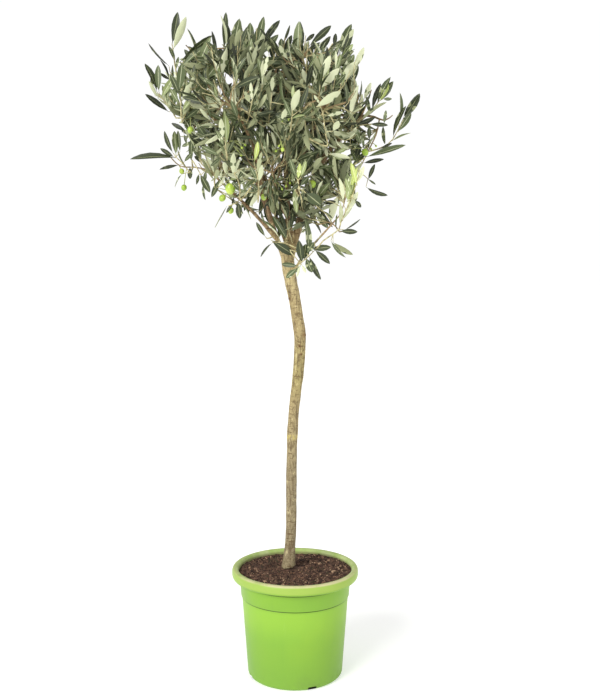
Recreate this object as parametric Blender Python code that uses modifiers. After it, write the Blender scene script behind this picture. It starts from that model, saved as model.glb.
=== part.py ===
"""A potted olive standard: a clear, slightly crooked stem in a nursery pot, under a round head.

Metres, +Z up. The origin is the centre of the pot's flat underside. The crown is seen from -Y.
The trunk and the boughs are tapering limbs. Each mass of foliage fills its own share of the
crown: a stem goes on from the tip of its bough, twigs branch from it by a seeded rule, and
leaves and fruit are fused to the twigs.
"""

import math
import random

import bmesh
import bpy
from mathutils import Matrix, Vector
from mathutils.geometry import interpolate_bezier
from mathutils.kdtree import KDTree

GAP = 0.0003  # clearance between solids that meet
FINE = 0.00005  # merge distance

# pot: a turned cup with a lip and a collar
RIM_RADIUS = 0.145
LIP_HALF_WIDTH = 0.0076
LIP_HALF_HEIGHT = 0.0115
LIP_FULLNESS = 0.7  # 1 rolls the lip to an ellipse, less to a squarer band
POT_HEIGHT = 0.251
COLLAR_RADIUS = 0.1275
COLLAR_FOOT = 0.1865
COLLAR_STEP = 0.0020
COLLAR_DRAFT = 0.0033  # the collar's narrowing from the lip to its foot
BASE_RADIUS = 0.1094
BASE_ROUNDING = 0.010
WALL = 0.0028
POT_STEPS = 44
NOTCH_TURNS = [math.radians(a) for a in (-69, 21, 111, 201)]  # from -Y towards +X
NOTCH_WIDTH, NOTCH_HEIGHT, NOTCH_DEPTH = 0.019, 0.005, 0.009

# potting soil, flat under the trunk and lower at the rim
SOIL_TOP = 0.2465
SOIL_PLATEAU = 0.045
SOIL_EDGE = 0.242

# trunk: the places that its axis passes, from the soil to the fork, and its radius there
TRUNK_FOOT = SOIL_TOP + GAP
FLARE_HEIGHT = 0.05
FLARE = 0.0045
TRUNK_BENDS = [
    (Vector((-0.014, 0.004, TRUNK_FOOT)), 0.0130),
    (Vector((-0.014, 0.004, TRUNK_FOOT + 0.012)), 0.0130),
    (Vector((-0.009, 0.001, 0.340)), 0.0122),
    (Vector((-0.008, -0.002, 0.468)), 0.0122),
    (Vector((-0.004, -0.003, 0.596)), 0.0120),
    (Vector((0.008, 0.000, 0.705)), 0.0124),
    (Vector((0.011, 0.003, 0.784)), 0.0134),
    (Vector((-0.002, 0.004, 0.869)), 0.0132),
    (Vector((-0.014, 0.002, 0.932)), 0.0142),
    (Vector((-0.018, 0.000, 0.979)), 0.0150),
]
TRUNK_SIDES = 10

# crown: its half width by height, as the reach of the leaf tips
CROWN_X = -0.033
CROWN_LEAN = 0.2  # to the left, above the widest level
CROWN_FOOT = 0.985
CROWN_TOP = 1.492
CROWN_WIDEST = 1.300
CROWN_RADIUS = 0.292
TWIG_INSET = 0.065  # twigs end this far inside the reach of the leaves
SHARE_INSET = 0.030  # and this far inside the mass's own share of the crown
SHARE_GAP = 0.003  # between neighbouring masses

# each bough and the mass that it carries: where the mass's heart is (turn about the crown's
# axis from +X, distance from the axis, height), what the bough grows from, how far along that,
# and its radius at the foot
BOUGHS = {
    "left": (176, 0.185, 1.300, "trunk", 0.955, 0.0064),
    "right": (8, 0.190, 1.275, "trunk", 0.965, 0.0090),
    "back": (78, 0.175, 1.265, "trunk", 0.935, 0.0066),
    "top_right": (325, 0.100, 1.400, "right", 0.26, 0.0060),
    "top_left": (205, 0.110, 1.405, "left", 0.40, 0.0050),
    "top_back": (85, 0.095, 1.400, "back", 0.42, 0.0050),
    "front_left": (238, 0.185, 1.275, "left", 0.22, 0.0050),
    "front_right": (304, 0.185, 1.275, "top_right", 0.20, 0.0050),
    "back_left": (130, 0.185, 1.275, "back", 0.24, 0.0050),
    "back_right": (40, 0.165, 1.200, "right", 0.30, 0.0050),
    "left_low": (190, 0.160, 1.150, "left", 0.16, 0.0046),
    "front_low": (262, 0.110, 1.150, "right", 0.14, 0.0046),
    "back_low": (115, 0.120, 1.140, "back", 0.13, 0.0044),
    "shoot_low": (325, 0.155, 1.045, "trunk", 0.925, 0.0036),
}
BOUGH_SIDES = 6
BOUGH_TAPER = 0.62  # radius at the tip over radius at the foot
BOUGH_RESTS = 0.055  # a bough ends this far short of its mass's heart
BEAD_STEP = 0.004

# leading shoots that set the outline: the mass, and where the shoot ends
LEADERS = [
    ("top_left", (-0.238, -0.01, 1.420)),
    ("left", (-0.270, 0.01, 1.350)),
    ("left", (-0.240, 0.00, 1.225)),
    ("left_low", (-0.275, -0.02, 1.180)),
    ("left_low", (-0.174, -0.036, 1.108)),
    ("right", (0.215, -0.01, 1.270)),
    ("right", (0.170, 0.02, 1.330)),
    ("right", (0.160, -0.03, 1.190)),
    ("right", (0.135, -0.01, 1.130)),
    ("top_right", (0.085, -0.03, 1.420)),
    ("top_back", (-0.040, 0.06, 1.430)),
    ("shoot_low", (0.115, -0.085, 1.110)),
    ("shoot_low", (0.102, -0.070, 1.014)),
    ("shoot_low", (0.052, -0.045, 0.955)),
    ("shoot_low", (0.045, -0.035, 1.040)),
    ("shoot_low", (0.010, -0.060, 0.960)),
]

# twigs, leaves and fruit
SHOOTS = 9  # to a mass
SPOTS = 300  # tried for the ends of a mass's shoots
LOBE_RADIUS = 0.15
TWIG_FOOT, TWIG_TIP = 0.0034, 0.0020
LEAF_PAIRS = 2  # to a shoot, with one more leaf at its tip
LEAF_STEP = 0.30  # between pairs, as a share of the shoot
LEAF_STAGGER = 0.003  # between the two leaves of a pair
LEAF_TRIES = 8
LEAF_ROOM = 0.013  # between the midrib of a leaf and any other leaf or twig
LEAF_LENGTH, LEAF_WIDTH, LEAF_THICKNESS = 0.094, 0.030, 0.0024
LEAF_SPREAD = math.radians(42)
FRUIT_RADIUS = 0.0085
FRUIT_MASSES = ("left_low", "front_low", "left", "right", "front_left", "front_right", "back_low")


def clear_scene():
    for thing in list(bpy.data.objects):
        bpy.data.objects.remove(thing)


def new_collection(name):
    collection = bpy.data.collections.new(name)
    bpy.context.scene.collection.children.link(collection)
    return collection


def finish_colour(name, colour, roughness):
    material = bpy.data.materials.new(name)
    material.use_nodes = True
    shader = material.node_tree.nodes["Principled BSDF"]
    shader.inputs["Base Color"].default_value = (*colour, 1)
    shader.inputs["Roughness"].default_value = roughness
    shader.inputs["Metallic"].default_value = 0
    return material


def object_from(bm, name, collection, material=None):
    """A mesh object made from bm, which is freed."""
    mesh = bpy.data.meshes.new(name)
    bm.to_mesh(mesh)
    bm.free()
    thing = bpy.data.objects.new(name, mesh)
    collection.objects.link(thing)
    if material:
        mesh.materials.append(material)
    return thing


def shade_round(thing):
    thing.data.shade_smooth()
    thing.data.set_sharp_from_angle(angle=math.radians(40))


def apply_modifiers(thing):
    graph = bpy.context.evaluated_depsgraph_get()
    mesh = bpy.data.meshes.new_from_object(thing.evaluated_get(graph))
    thing.modifiers.clear()
    old = thing.data
    thing.data = mesh
    bpy.data.meshes.remove(old)


# ---- limbs


def smooth_path(bends, step):
    """Points and radii along a Catmull-Rom curve through the bends."""
    ends = [bends[0]] + bends + [bends[-1]]
    points, radii = [], []
    for (a, _), (b, rb), (c, rc), (d, _) in zip(ends, ends[1:], ends[2:], ends[3:]):
        pieces = max(1, round((c - b).length / step))
        for point in interpolate_bezier(b, b + (c - a) / 6, c - (d - b) / 6, c, pieces + 1)[:-1]:
            points.append(point)
            radii.append(rb + (rc - rb) * (point - b).length / (c - b).length)
    return points + [bends[-1][0].copy()], radii + [bends[-1][1]]


def headings(points):
    """The direction of the path at each of its points."""
    ends = [points[0]] + points + [points[-1]]
    return [(after - before).normalized() for before, after in zip(ends, ends[2:])]


def place_on(path, share):
    """The point and heading at a share of the way along a path."""
    points, _ = path
    at = share * (len(points) - 1)
    low = min(int(at), len(points) - 2)
    return points[low].lerp(points[low + 1], at - low), headings(points)[low]


def swept(points, radii, sides):
    """A closed tube along the points, made by extruding a cap from ring to ring."""
    bm = bmesh.new()
    ways = headings(points)
    facing = ways[0].to_track_quat("Z", "Y").to_matrix().to_4x4()
    bmesh.ops.create_circle(
        bm, cap_ends=True, segments=sides, radius=radii[0], matrix=Matrix.Translation(points[0]) @ facing
    )
    bm.faces.ensure_lookup_table()
    cap = bm.faces[0]
    for i in range(1, len(points)):
        made = bmesh.ops.extrude_face_region(bm, geom=[cap])["geom"]
        if i > 1:
            bmesh.ops.delete(bm, geom=[cap], context="FACES_ONLY")
        cap = next(f for f in made if isinstance(f, bmesh.types.BMFace))
        turn = ways[i - 1].rotation_difference(ways[i]).to_matrix().to_4x4()
        grow = Matrix.Scale(radii[i] / radii[i - 1], 4)
        step = Matrix.Translation(points[i]) @ turn @ grow @ Matrix.Translation(-points[i - 1])
        bmesh.ops.transform(bm, matrix=step, verts=cap.verts)
    bmesh.ops.recalc_face_normals(bm, faces=bm.faces)
    return bm


def trunk_path():
    """The trunk's axis and radii, with the root flare over its lowest stretch."""
    points, radii = smooth_path(TRUNK_BENDS, 0.032)
    for i, point in enumerate(points):
        rise = (point.z - TRUNK_FOOT) / FLARE_HEIGHT
        if rise < 1:
            radii[i] += FLARE * (1 - rise) ** 2
    return points, radii


def heart_of(name):
    """The middle of a mass."""
    turn, distance, height = BOUGHS[name][:3]
    turn = math.radians(turn)
    return axis_at(height) + Vector((math.cos(turn), math.sin(turn), 0)) * distance


def bough_path(name, paths):
    """From the axis of the limb that it grows from, out and up to just short of its mass's heart."""
    parent, share, radius = BOUGHS[name][3:]
    start, along = place_on(paths[parent], share)
    heart = heart_of(name)
    arrive = Vector((heart.x - CROWN_X, heart.y, 0)).normalized() + Vector((0, 0, 0.9))
    end = heart - arrive.normalized() * BOUGH_RESTS
    leave = (end - start).normalized() + along * 0.35
    length = (end - start).length
    points = interpolate_bezier(
        start,
        start + leave.normalized() * length * 0.4,
        end - arrive.normalized() * length * 0.35,
        end,
        max(6, round(length / 0.028)),
    )
    shares = [i / (len(points) - 1) for i in range(len(points))]
    return points, [radius * (1 - s * (1 - BOUGH_TAPER)) for s in shares]


def limb_paths():
    paths = {"trunk": trunk_path()}
    for name in BOUGHS:
        paths[name] = bough_path(name, paths)
    return paths


def build_limbs(paths, part, cutters, bark):
    """The trunk, and each bough cut clear of every limb that was made before it."""
    for name, (points, radii) in paths.items():
        sides = TRUNK_SIDES if name == "trunk" else BOUGH_SIDES
        node = name if name == "trunk" else "bough_" + name
        limb = object_from(swept(points, radii, sides), node, part, bark)
        if name != "trunk":
            cut = limb.modifiers.new("fork", "BOOLEAN")
            cut.operation = "DIFFERENCE"
            cut.operand_type = "COLLECTION"
            cut.collection = cutters
            apply_modifiers(limb)
            drop_scraps(limb)
        ways = headings(points)
        longer = [points[0] - ways[0] * GAP, *points[1:-1], points[-1] + ways[-1] * GAP]
        wider = object_from(swept(longer, [r + GAP for r in radii], sides), "around_" + name, cutters)
        wider.hide_render = True
        wider.display_type = "WIRE"
        shade_round(limb)


def drop_scraps(thing):
    """Keeps the largest connected piece of a mesh."""
    bm = bmesh.new()
    bm.from_mesh(thing.data)
    left, islands = set(bm.verts), []
    while left:
        island, edge = set(), [left.pop()]
        while edge:
            vert = edge.pop()
            island.add(vert)
            near = {e.other_vert(vert) for e in vert.link_edges} & left
            left -= near
            edge.extend(near)
        islands.append(island)
    keep = max(islands, key=len)
    bmesh.ops.delete(bm, geom=[v for v in bm.verts if v not in keep], context="VERTS")
    bm.to_mesh(thing.data)
    bm.free()


# ---- foliage


def reach_at(height):
    """The crown's half width at a height: a dome above its widest level, a bowl below it."""
    if height >= CROWN_WIDEST:
        rise, power, root = (height - CROWN_WIDEST) / (CROWN_TOP - CROWN_WIDEST), 2.6, 0.40
    else:
        rise, power, root = (CROWN_WIDEST - height) / (CROWN_WIDEST - CROWN_FOOT), 1.7, 0.62
    return CROWN_RADIUS * (1 - rise**power) ** root if rise < 1 else 0


def axis_at(height):
    return Vector((CROWN_X - CROWN_LEAN * max(0, height - CROWN_WIDEST), 0, height))


def in_crown(point, inset=0.0):
    lifted = point.z + inset * (1 if point.z > CROWN_WIDEST else -1)
    return (point - axis_at(point.z)).length < reach_at(lifted) - inset


def in_share(point, name, hearts, inset=0.0):
    """True if the point is in the mass's own share of space, clear of its neighbours'."""
    own = hearts[name]
    for other, heart in hearts.items():
        if other != name:
            apart = heart - own
            if (point - (own + heart) / 2).dot(apart.normalized()) > -SHARE_GAP / 2 - inset:
                return False
    return True


def string_limbs(paths):
    """Beads along the axis of every limb, each with its radius, and a tree to search them by."""
    beads = []
    for points, radii in paths.values():
        for a, b, radius in zip(points, points[1:], radii):
            count = math.ceil((b - a).length / BEAD_STEP) + 1
            beads += [(a.lerp(b, i / count), radius) for i in range(count + 1)]
    tree = KDTree(len(beads))
    for i, (point, _) in enumerate(beads):
        tree.insert(point, i)
    tree.balance()
    return tree, [radius for _, radius in beads]


def off_limbs(point, room, strung):
    """True if the point is at least room away from the bark of every limb."""
    tree, radii = strung
    near = tree.find_range(point, room + max(radii))
    return all(distance > radii[index] + room for _, index, distance in near)


def shoot_tips(name, hearts, rng):
    """Where the shoots of a mass end: the leading ones, then each as far as can be from the rest."""
    heart = hearts[name]
    pool = []
    for _ in range(SPOTS):
        way = Vector((rng.gauss(0, 1), rng.gauss(0, 1), rng.gauss(0, 1))).normalized()
        spot = heart + way * LOBE_RADIUS * rng.random() ** 0.5
        if in_crown(spot, TWIG_INSET) and in_share(spot, name, hearts, SHARE_INSET):
            pool.append(spot)
    tips = [Vector(end) for mass, end in LEADERS if mass == name]
    while len(tips) < SHOOTS and pool:
        taken = tips + [heart]
        tips.append(max(pool, key=lambda spot: min((spot - t).length for t in taken) * rng.uniform(0.8, 1)))
    return tips


def twig_to(tip, frame, heart):
    """A twig that leaves the frame where that is shortest and bows up and out to its tip."""
    def cost(place):
        point, way, _ = place
        return (tip - point).length * (1.7 - (tip - point).normalized().dot(way))

    start, way, thick = min(frame, key=cost)
    length = (tip - start).length
    lift = (tip - Vector((CROWN_X, 0, heart.z - 0.12))).normalized() + Vector((0, 0, 0.6))
    points = interpolate_bezier(
        start, start + way * length * 0.3, tip - lift.normalized() * length * 0.35, tip, 3 if length < 0.08 else 4
    )
    foot = min(TWIG_FOOT, thick * 0.85)
    shares = [i / (len(points) - 1) for i in range(len(points))]
    return points, [foot + (TWIG_TIP - foot) * s for s in shares]


def leaf_places(path, rng):
    """Opposite pairs from the tip of a shoot down, each pair a right angle from the last.

    Each place is a point on the twig, the twig's heading there, and the side that the leaf takes.
    """
    end, way = place_on(path, 1)
    side = way.orthogonal().normalized()
    places = [(end - way * 0.001, way, side * 0.2)]
    for pair in range(LEAF_PAIRS):
        point, way = place_on(path, 0.96 - LEAF_STEP * pair)
        turned_side = Matrix.Rotation(math.pi / 2 * pair + rng.uniform(-0.4, 0.4), 3, way) @ side
        turned_side = (turned_side - way * turned_side.dot(way)).normalized()
        places += [(point, way, turned_side), (point - way * LEAF_STAGGER, way, -turned_side)]
    return places


def leaf_headings(way, side, rng):
    """Directions for a leaf, the one that suits it best first."""
    for attempt in range(LEAF_TRIES):
        spread = (LEAF_SPREAD + rng.uniform(-0.2, 0.2) * (1 + attempt)) * min(1, side.length * 1.4)
        roll = Matrix.Rotation(rng.uniform(-0.35, 0.35) * attempt, 3, way)
        yield (way * math.cos(spread) + roll @ side.normalized() * math.sin(spread)).normalized()


def leaf(root, out, up, size):
    """A lens of eight faces, its root sunk to the twig's axis."""
    across = out.cross(up).normalized()
    length = LEAF_LENGTH * size
    bm = bmesh.new()
    bmesh.ops.create_uvsphere(bm, u_segments=4, v_segments=2, radius=0.5)
    for vert in bm.verts:
        if abs(vert.co.y) < 0.1:
            vert.co.y -= 0.06  # widest a little short of the middle
    shape = Matrix.Diagonal((LEAF_WIDTH * size, length, LEAF_THICKNESS, 1)) @ Matrix.Translation((0, 0.5, 0))
    turn = Matrix((across, out, across.cross(out))).transposed().to_4x4()
    bmesh.ops.transform(
        bm, matrix=Matrix.Translation(root - out * 0.0003) @ turn @ shape, verts=bm.verts
    )
    return bm


def twig_fits(path, fits):
    points, radii = path
    for a, b, radius in zip(points, points[1:], radii):
        count = math.ceil((b - a).length / BEAD_STEP) + 1
        if not all(fits(a.lerp(b, i / count), radius + 0.001) for i in range(count + 1)):
            return False
    return True


def leaf_fits(root, out, size, fits):
    length = LEAF_LENGTH * size
    stations = ((0.15, 0.3), (0.3, 0.5), (0.5, 0.5), (0.75, 0.35), (1, 0.1))
    return all(fits(root + out * length * share, LEAF_WIDTH * half) for share, half in stations)


def crosses(root, out, size, others):
    """True if a leaf would run through another leaf or twig, each known by points along it."""
    length = LEAF_LENGTH * size
    own = [root + out * length * share for share in (0.25, 0.45, 0.65, 0.85, 1)]
    return any((a - b).length_squared < LEAF_ROOM**2 for a in own for b in others)


def build_mass(name, paths, hearts, strung, part, green):
    """One mass of foliage: its stem, twigs, leaves and fruit as one solid."""
    rng = random.Random("olive " + name)
    heart = hearts[name]
    points, radii = paths[name]
    way = headings(points)[-1]
    start = points[-1] + way * GAP

    def fits(point, room):
        return in_share(point, name, hearts) and off_limbs(point, room + GAP, strung)

    stem = [start, start + way * 0.008, start.lerp(heart, 0.6), heart]
    stem_radii = [radii[-1] * share for share in (1, 0.95, 0.8, 0.65)]
    body = object_from(swept(stem, stem_radii, 6), "foliage_" + name, part, green)
    joined = bpy.data.collections.new("joined")
    frame = list(zip(stem, headings(stem), stem_radii))[2:]
    leaves, twigs, others = 0, 0, []
    leading = [Vector(end) for mass, end in LEADERS if mass == name]
    for tip in shoot_tips(name, hearts, rng):
        lead = tip in leading
        path = twig_to(tip, frame, heart)
        if not twig_fits(path, fits):
            continue
        object_from(swept(*path, 3), "twig", joined)
        twigs += 1
        frame += list(zip(path[0], headings(path[0]), path[1]))[1:]
        others += [path[0][i].lerp(path[0][i + 1], 0.5) for i in range(1, len(path[0]) - 1)]
        for root, along, side in leaf_places(path, rng):
            size = rng.uniform(0.8, 1.05)
            for out in leaf_headings(along, side, rng):
                outside = root + out * LEAF_LENGTH * size
                inside = in_crown(outside) or (outside - tip).length < LEAF_LENGTH and lead
                if inside and leaf_fits(root, out, size, fits) and not crosses(root, out, size, others):
                    object_from(leaf(root, out, along, size), "leaf", joined)
                    others += [root.lerp(outside, share) for share in (0.25, 0.5, 0.75, 1)]
                    leaves += 1
                    break
        if twigs == 2 and name in FRUIT_MASSES:
            add_fruit(path, joined, fits)
    union = body.modifiers.new("joined", "BOOLEAN")
    union.operation = "UNION"
    union.operand_type = "COLLECTION"
    union.collection = joined
    union.solver = "MANIFOLD"
    apply_modifiers(body)
    for thing in list(joined.objects):
        bpy.data.objects.remove(thing)
    bpy.data.collections.remove(joined)
    drop_scraps(body)
    print(name, twigs, "twigs", leaves, "leaves", len(body.data.polygons), "faces")
    return leaves


def add_fruit(path, joined, fits):
    """An olive that hangs under the middle of a twig, sunk a little into it."""
    point, _ = place_on(path, 0.55)
    middle = point - Vector((0, 0, FRUIT_RADIUS * 0.95))
    if fits(middle, FRUIT_RADIUS):
        bm = bmesh.new()
        bmesh.ops.create_uvsphere(bm, u_segments=6, v_segments=4, radius=FRUIT_RADIUS)
        long = Matrix.Translation(middle) @ Matrix.Diagonal((1, 1, 1.12, 1))
        bmesh.ops.transform(bm, matrix=long, verts=bm.verts)
        object_from(bm, "fruit", joined)


# ---- pot and soil


def turned(name, profile, part, material):
    """A solid of revolution about Z from an outline that runs from the axis back to the axis."""
    bm = bmesh.new()
    verts = [bm.verts.new((x, 0, z)) for x, z in profile]
    for a, b in zip(verts, verts[1:]):
        bm.edges.new((a, b))
    thing = object_from(bm, name, part, material)
    screw = thing.modifiers.new("turn", "SCREW")
    screw.steps = screw.render_steps = POT_STEPS
    screw.use_merge_vertices = True
    screw.merge_threshold = FINE
    screw.use_normal_calculate = True
    return thing


def arc(middle_x, middle_z, radius, start, end, pieces):
    """Points on an arc of the profile, by angles in degrees from +X."""
    angles = [math.radians(start + (end - start) * i / pieces) for i in range(pieces + 1)]
    return [(middle_x + radius * math.cos(a), middle_z + radius * math.sin(a)) for a in angles]


def wall_radius(height):
    """The outside of the plain wall, under the collar."""
    share = (height - BASE_ROUNDING) / (COLLAR_FOOT - BASE_ROUNDING)
    return BASE_RADIUS + share * (COLLAR_RADIUS - COLLAR_DRAFT - COLLAR_STEP - BASE_RADIUS)


def lip_section(pieces):
    """The lip's outline from its inner side over the top to its underside."""
    middle_x, middle_z = RIM_RADIUS - LIP_HALF_WIDTH, POT_HEIGHT - LIP_HALF_HEIGHT
    points = []
    for x, z in arc(0, 0, 1, 180, -90, pieces):
        wide = math.copysign(abs(x) ** LIP_FULLNESS, x) * LIP_HALF_WIDTH
        high = math.copysign(abs(z) ** LIP_FULLNESS, z) * LIP_HALF_HEIGHT
        points.append((middle_x + wide, middle_z + high))
    return points


def build_pot(part, cutters, plastic):
    outside = (
        lip_section(9)
        + [(COLLAR_RADIUS, POT_HEIGHT - 2 * LIP_HALF_HEIGHT)]
        + [(wall_radius(COLLAR_FOOT) + COLLAR_STEP, COLLAR_FOOT)]
        + [(wall_radius(COLLAR_FOOT - COLLAR_STEP), COLLAR_FOOT - COLLAR_STEP)]
        + arc(BASE_RADIUS - BASE_ROUNDING, BASE_ROUNDING, BASE_ROUNDING, 0, -90, 3)
        + [(0, 0)]
    )
    inside = [
        (0, WALL),
        (BASE_RADIUS - BASE_ROUNDING - 0.001, WALL),
        (wall_radius(BASE_ROUNDING) - WALL, BASE_ROUNDING),
        (wall_radius(COLLAR_FOOT) - WALL, COLLAR_FOOT),
    ]
    pot = turned("pot", inside + outside, part, plastic)
    for i, turn in enumerate(NOTCH_TURNS):
        bm = bmesh.new()
        bmesh.ops.create_cube(bm, size=1)
        place = (
            Matrix.Rotation(turn, 4, "Z")
            @ Matrix.Translation((0, -BASE_RADIUS, 0))
            @ Matrix.Diagonal((NOTCH_WIDTH, NOTCH_DEPTH * 2, NOTCH_HEIGHT * 2, 1))
        )
        bmesh.ops.transform(bm, matrix=place, verts=bm.verts)
        cutter = object_from(bm, f"notch_{i}", cutters)
        cutter.hide_render = True
        cutter.display_type = "WIRE"
        cut = pot.modifiers.new(cutter.name, "BOOLEAN")
        cut.operation = "DIFFERENCE"
        cut.object = cutter
    apply_modifiers(pot)
    shade_round(pot)
    return inside


def build_soil(inside, part, earth):
    """It fills the pot from the floor to just under the rim, a gap clear of the wall."""
    lip = RIM_RADIUS - 2 * LIP_HALF_WIDTH
    floor, corner, belly, shoulder = inside
    profile = [
        (0, SOIL_TOP),
        (SOIL_PLATEAU, SOIL_TOP),
        (lip - GAP * 2, SOIL_EDGE),
        (shoulder[0] - GAP * 2, shoulder[1]),
        (belly[0] - GAP * 2, belly[1]),
        (corner[0] - GAP * 2, corner[1] + GAP),
        (0, floor[1] + GAP),
    ]
    shade_round(turned("soil", profile, part, earth))


def main():
    clear_scene()
    part = new_collection("potted_olive_tree")
    fork_cutters = new_collection("fork_cutters")
    pot_cutters = new_collection("pot_cutters")
    plastic = finish_colour("green_plastic", (0.30, 0.62, 0.08), 0.45)
    earth = finish_colour("potting_soil", (0.055, 0.035, 0.025), 0.95)
    bark = finish_colour("olive_bark", (0.36, 0.29, 0.17), 0.85)
    green = finish_colour("olive_leaf", (0.13, 0.17, 0.08), 0.55)
    inside = build_pot(part, pot_cutters, plastic)
    build_soil(inside, part, earth)
    paths = limb_paths()
    build_limbs(paths, part, fork_cutters, bark)
    hearts = {name: heart_of(name) for name in BOUGHS}
    strung = string_limbs(paths)
    total = sum(build_mass(name, paths, hearts, strung, part, green) for name in BOUGHS)
    print("leaves in all:", total)


main()
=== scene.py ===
import math
import random

import bmesh
import bpy
from mathutils import Matrix, Vector, noise
from mathutils.bvhtree import BVHTree
from mathutils.geometry import interpolate_bezier
from mathutils.kdtree import KDTree


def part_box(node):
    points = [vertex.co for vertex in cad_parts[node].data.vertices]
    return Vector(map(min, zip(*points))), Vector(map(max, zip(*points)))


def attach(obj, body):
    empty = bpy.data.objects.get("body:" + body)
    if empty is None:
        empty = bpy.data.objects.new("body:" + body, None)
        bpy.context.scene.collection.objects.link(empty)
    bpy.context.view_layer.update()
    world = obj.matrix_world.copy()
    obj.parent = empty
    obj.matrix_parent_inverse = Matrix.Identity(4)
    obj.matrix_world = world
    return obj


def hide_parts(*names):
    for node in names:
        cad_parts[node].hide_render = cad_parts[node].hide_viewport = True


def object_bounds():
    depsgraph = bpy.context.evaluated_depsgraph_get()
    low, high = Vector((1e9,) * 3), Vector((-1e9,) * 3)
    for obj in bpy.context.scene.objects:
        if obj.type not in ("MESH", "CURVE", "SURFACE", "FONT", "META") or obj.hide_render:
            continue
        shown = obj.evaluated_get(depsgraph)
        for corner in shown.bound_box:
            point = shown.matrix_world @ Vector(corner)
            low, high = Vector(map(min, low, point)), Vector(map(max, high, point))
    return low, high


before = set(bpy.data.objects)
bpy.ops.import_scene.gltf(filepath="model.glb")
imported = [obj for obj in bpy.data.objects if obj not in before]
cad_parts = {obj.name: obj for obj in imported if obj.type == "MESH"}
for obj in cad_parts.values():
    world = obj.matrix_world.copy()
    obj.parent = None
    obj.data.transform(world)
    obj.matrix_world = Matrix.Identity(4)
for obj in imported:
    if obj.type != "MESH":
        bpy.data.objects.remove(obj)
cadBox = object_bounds()

mergeWithin = 0.00002  # metres


class Link:  # a node's output: an expression on it adds the Math nodes that work it out
    def __init__(self, finish, socket):
        self.finish = finish
        self.socket = socket

    def math(self, operation, first, second):
        return self.finish.add("ShaderNodeMath", {"operation": operation}, {0: first, 1: second})

    def __add__(self, other):
        return self.math("ADD", self, other)

    def __sub__(self, other):
        return self.math("SUBTRACT", self, other)

    def __rsub__(self, other):
        return self.math("SUBTRACT", other, self)

    def __mul__(self, other):
        return self.math("MULTIPLY", self, other)

    __radd__ = __add__
    __rmul__ = __mul__


class Finish:  # one material: a Principled shader with its constant values, and the nodes that feed it
    def __init__(self, name, colour, roughness, gloss=0.5, **constants):
        self.material = bpy.data.materials.new(name)
        self.material.use_nodes = True
        self.tree = self.material.node_tree
        self.shader = self.tree.nodes["Principled BSDF"]
        self.shader.inputs["Base Color"].default_value = linear(colour)
        self.shader.inputs["Roughness"].default_value = roughness
        self.shader.inputs["Specular IOR Level"].default_value = gloss
        for socket, value in constants.items():
            self.shader.inputs[socket.replace("_", " ")].default_value = value
        self.material.diffuse_color = linear(colour)

    def add(self, kind, settings, inputs, output=0):
        node = self.tree.nodes.new(kind)
        for key, value in settings.items():
            setattr(node, key, value)
        for key, value in inputs.items():
            if isinstance(value, Link):
                self.tree.links.new(value.socket, node.inputs[key])
            else:
                node.inputs[key].default_value = value
        return Link(self, node.outputs[output])

    def coords(self):
        return self.add("ShaderNodeTexCoord", {}, {}, "Object")

    def height(self):
        return self.add("ShaderNodeSeparateXYZ", {}, {0: self.coords()}, 2)

    def noise(self, scale, stretch=(1, 1, 1), detail=4, rough=0.55, distortion=0.0):
        place = self.add("ShaderNodeMapping", {}, {"Vector": self.coords(), "Scale": stretch})
        inputs = {"Vector": place, "Scale": scale, "Detail": detail}
        inputs |= {"Roughness": rough, "Distortion": distortion}
        return self.add("ShaderNodeTexNoise", {}, inputs)

    def between(self, value, low, high):  # 0 up to low, 1 from high on, smooth between
        inputs = {"Value": value, "From Min": low, "From Max": high}
        return self.add("ShaderNodeMapRange", {"interpolation_type": "SMOOTHSTEP"}, inputs)

    def band(self, value, rises, full, fades, ends):  # 1 from full to fades, 0 outside rises and ends
        return self.between(value, rises, full) * (1 - self.between(value, fades, ends))

    def near(self, spot, reach, core=0.45):  # 1 about a spot, in this core of its reach, 0 beyond it
        settings = {"operation": "DISTANCE"}
        apart = self.add("ShaderNodeVectorMath", settings, {0: self.coords(), 1: spot}, "Value")
        return 1 - self.between(apart, reach * core, reach)

    def mix(self, share, first, second):
        colours = [c if isinstance(c, Link) else linear(c) for c in (first, second)]
        inputs = {0: share, 6: colours[0], 7: colours[1]}
        return self.add("ShaderNodeMix", {"data_type": "RGBA"}, inputs, 2)

    def tinted(self, colour, layers):  # each layer is the share that it covers and its colour
        for share, tint in layers:
            colour = self.mix(share, colour, tint)
        return colour

    def wear(self, colour=None, roughness=None, relief=None, depth=0.001, strength=0.5):
        if colour:
            self.tree.links.new(colour.socket, self.shader.inputs["Base Color"])
        if roughness:
            self.tree.links.new(roughness.socket, self.shader.inputs["Roughness"])
        if relief:
            inputs = {"Height": relief, "Distance": depth, "Strength": strength}
            bump = self.add("ShaderNodeBump", {}, inputs)
            self.tree.links.new(bump.socket, self.shader.inputs["Normal"])
        return self.material


def linear(colour):  # a colour as it shows on a screen, 0 to 255, in the shader's own scale
    scaled = [c / 255 for c in colour]
    return (*[c / 12.92 if c <= 0.04045 else ((c + 0.055) / 1.055) ** 2.4 for c in scaled], 1)


def newPiece(name, bm, materials, slot, nodes=(), smooth=True, sharpAngle=40):  # replaces these nodes
    mesh = bpy.data.meshes.new(name)
    bm.to_mesh(mesh)
    bm.free()
    for material in materials:
        mesh.materials.append(material)
    piece = bpy.data.objects.new(name, mesh)
    bpy.context.scene.collection.objects.link(piece)
    if smooth:
        mesh.shade_smooth()
        mesh.set_sharp_from_angle(angle=math.radians(sharpAngle))
    if slot:
        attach(piece, "root")
    if nodes:
        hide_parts(*nodes)
    return piece


def applyModifiers(piece):
    graph = bpy.context.evaluated_depsgraph_get()
    mesh = bpy.data.meshes.new_from_object(piece.evaluated_get(graph))
    piece.modifiers.clear()
    piece.data = mesh


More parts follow.
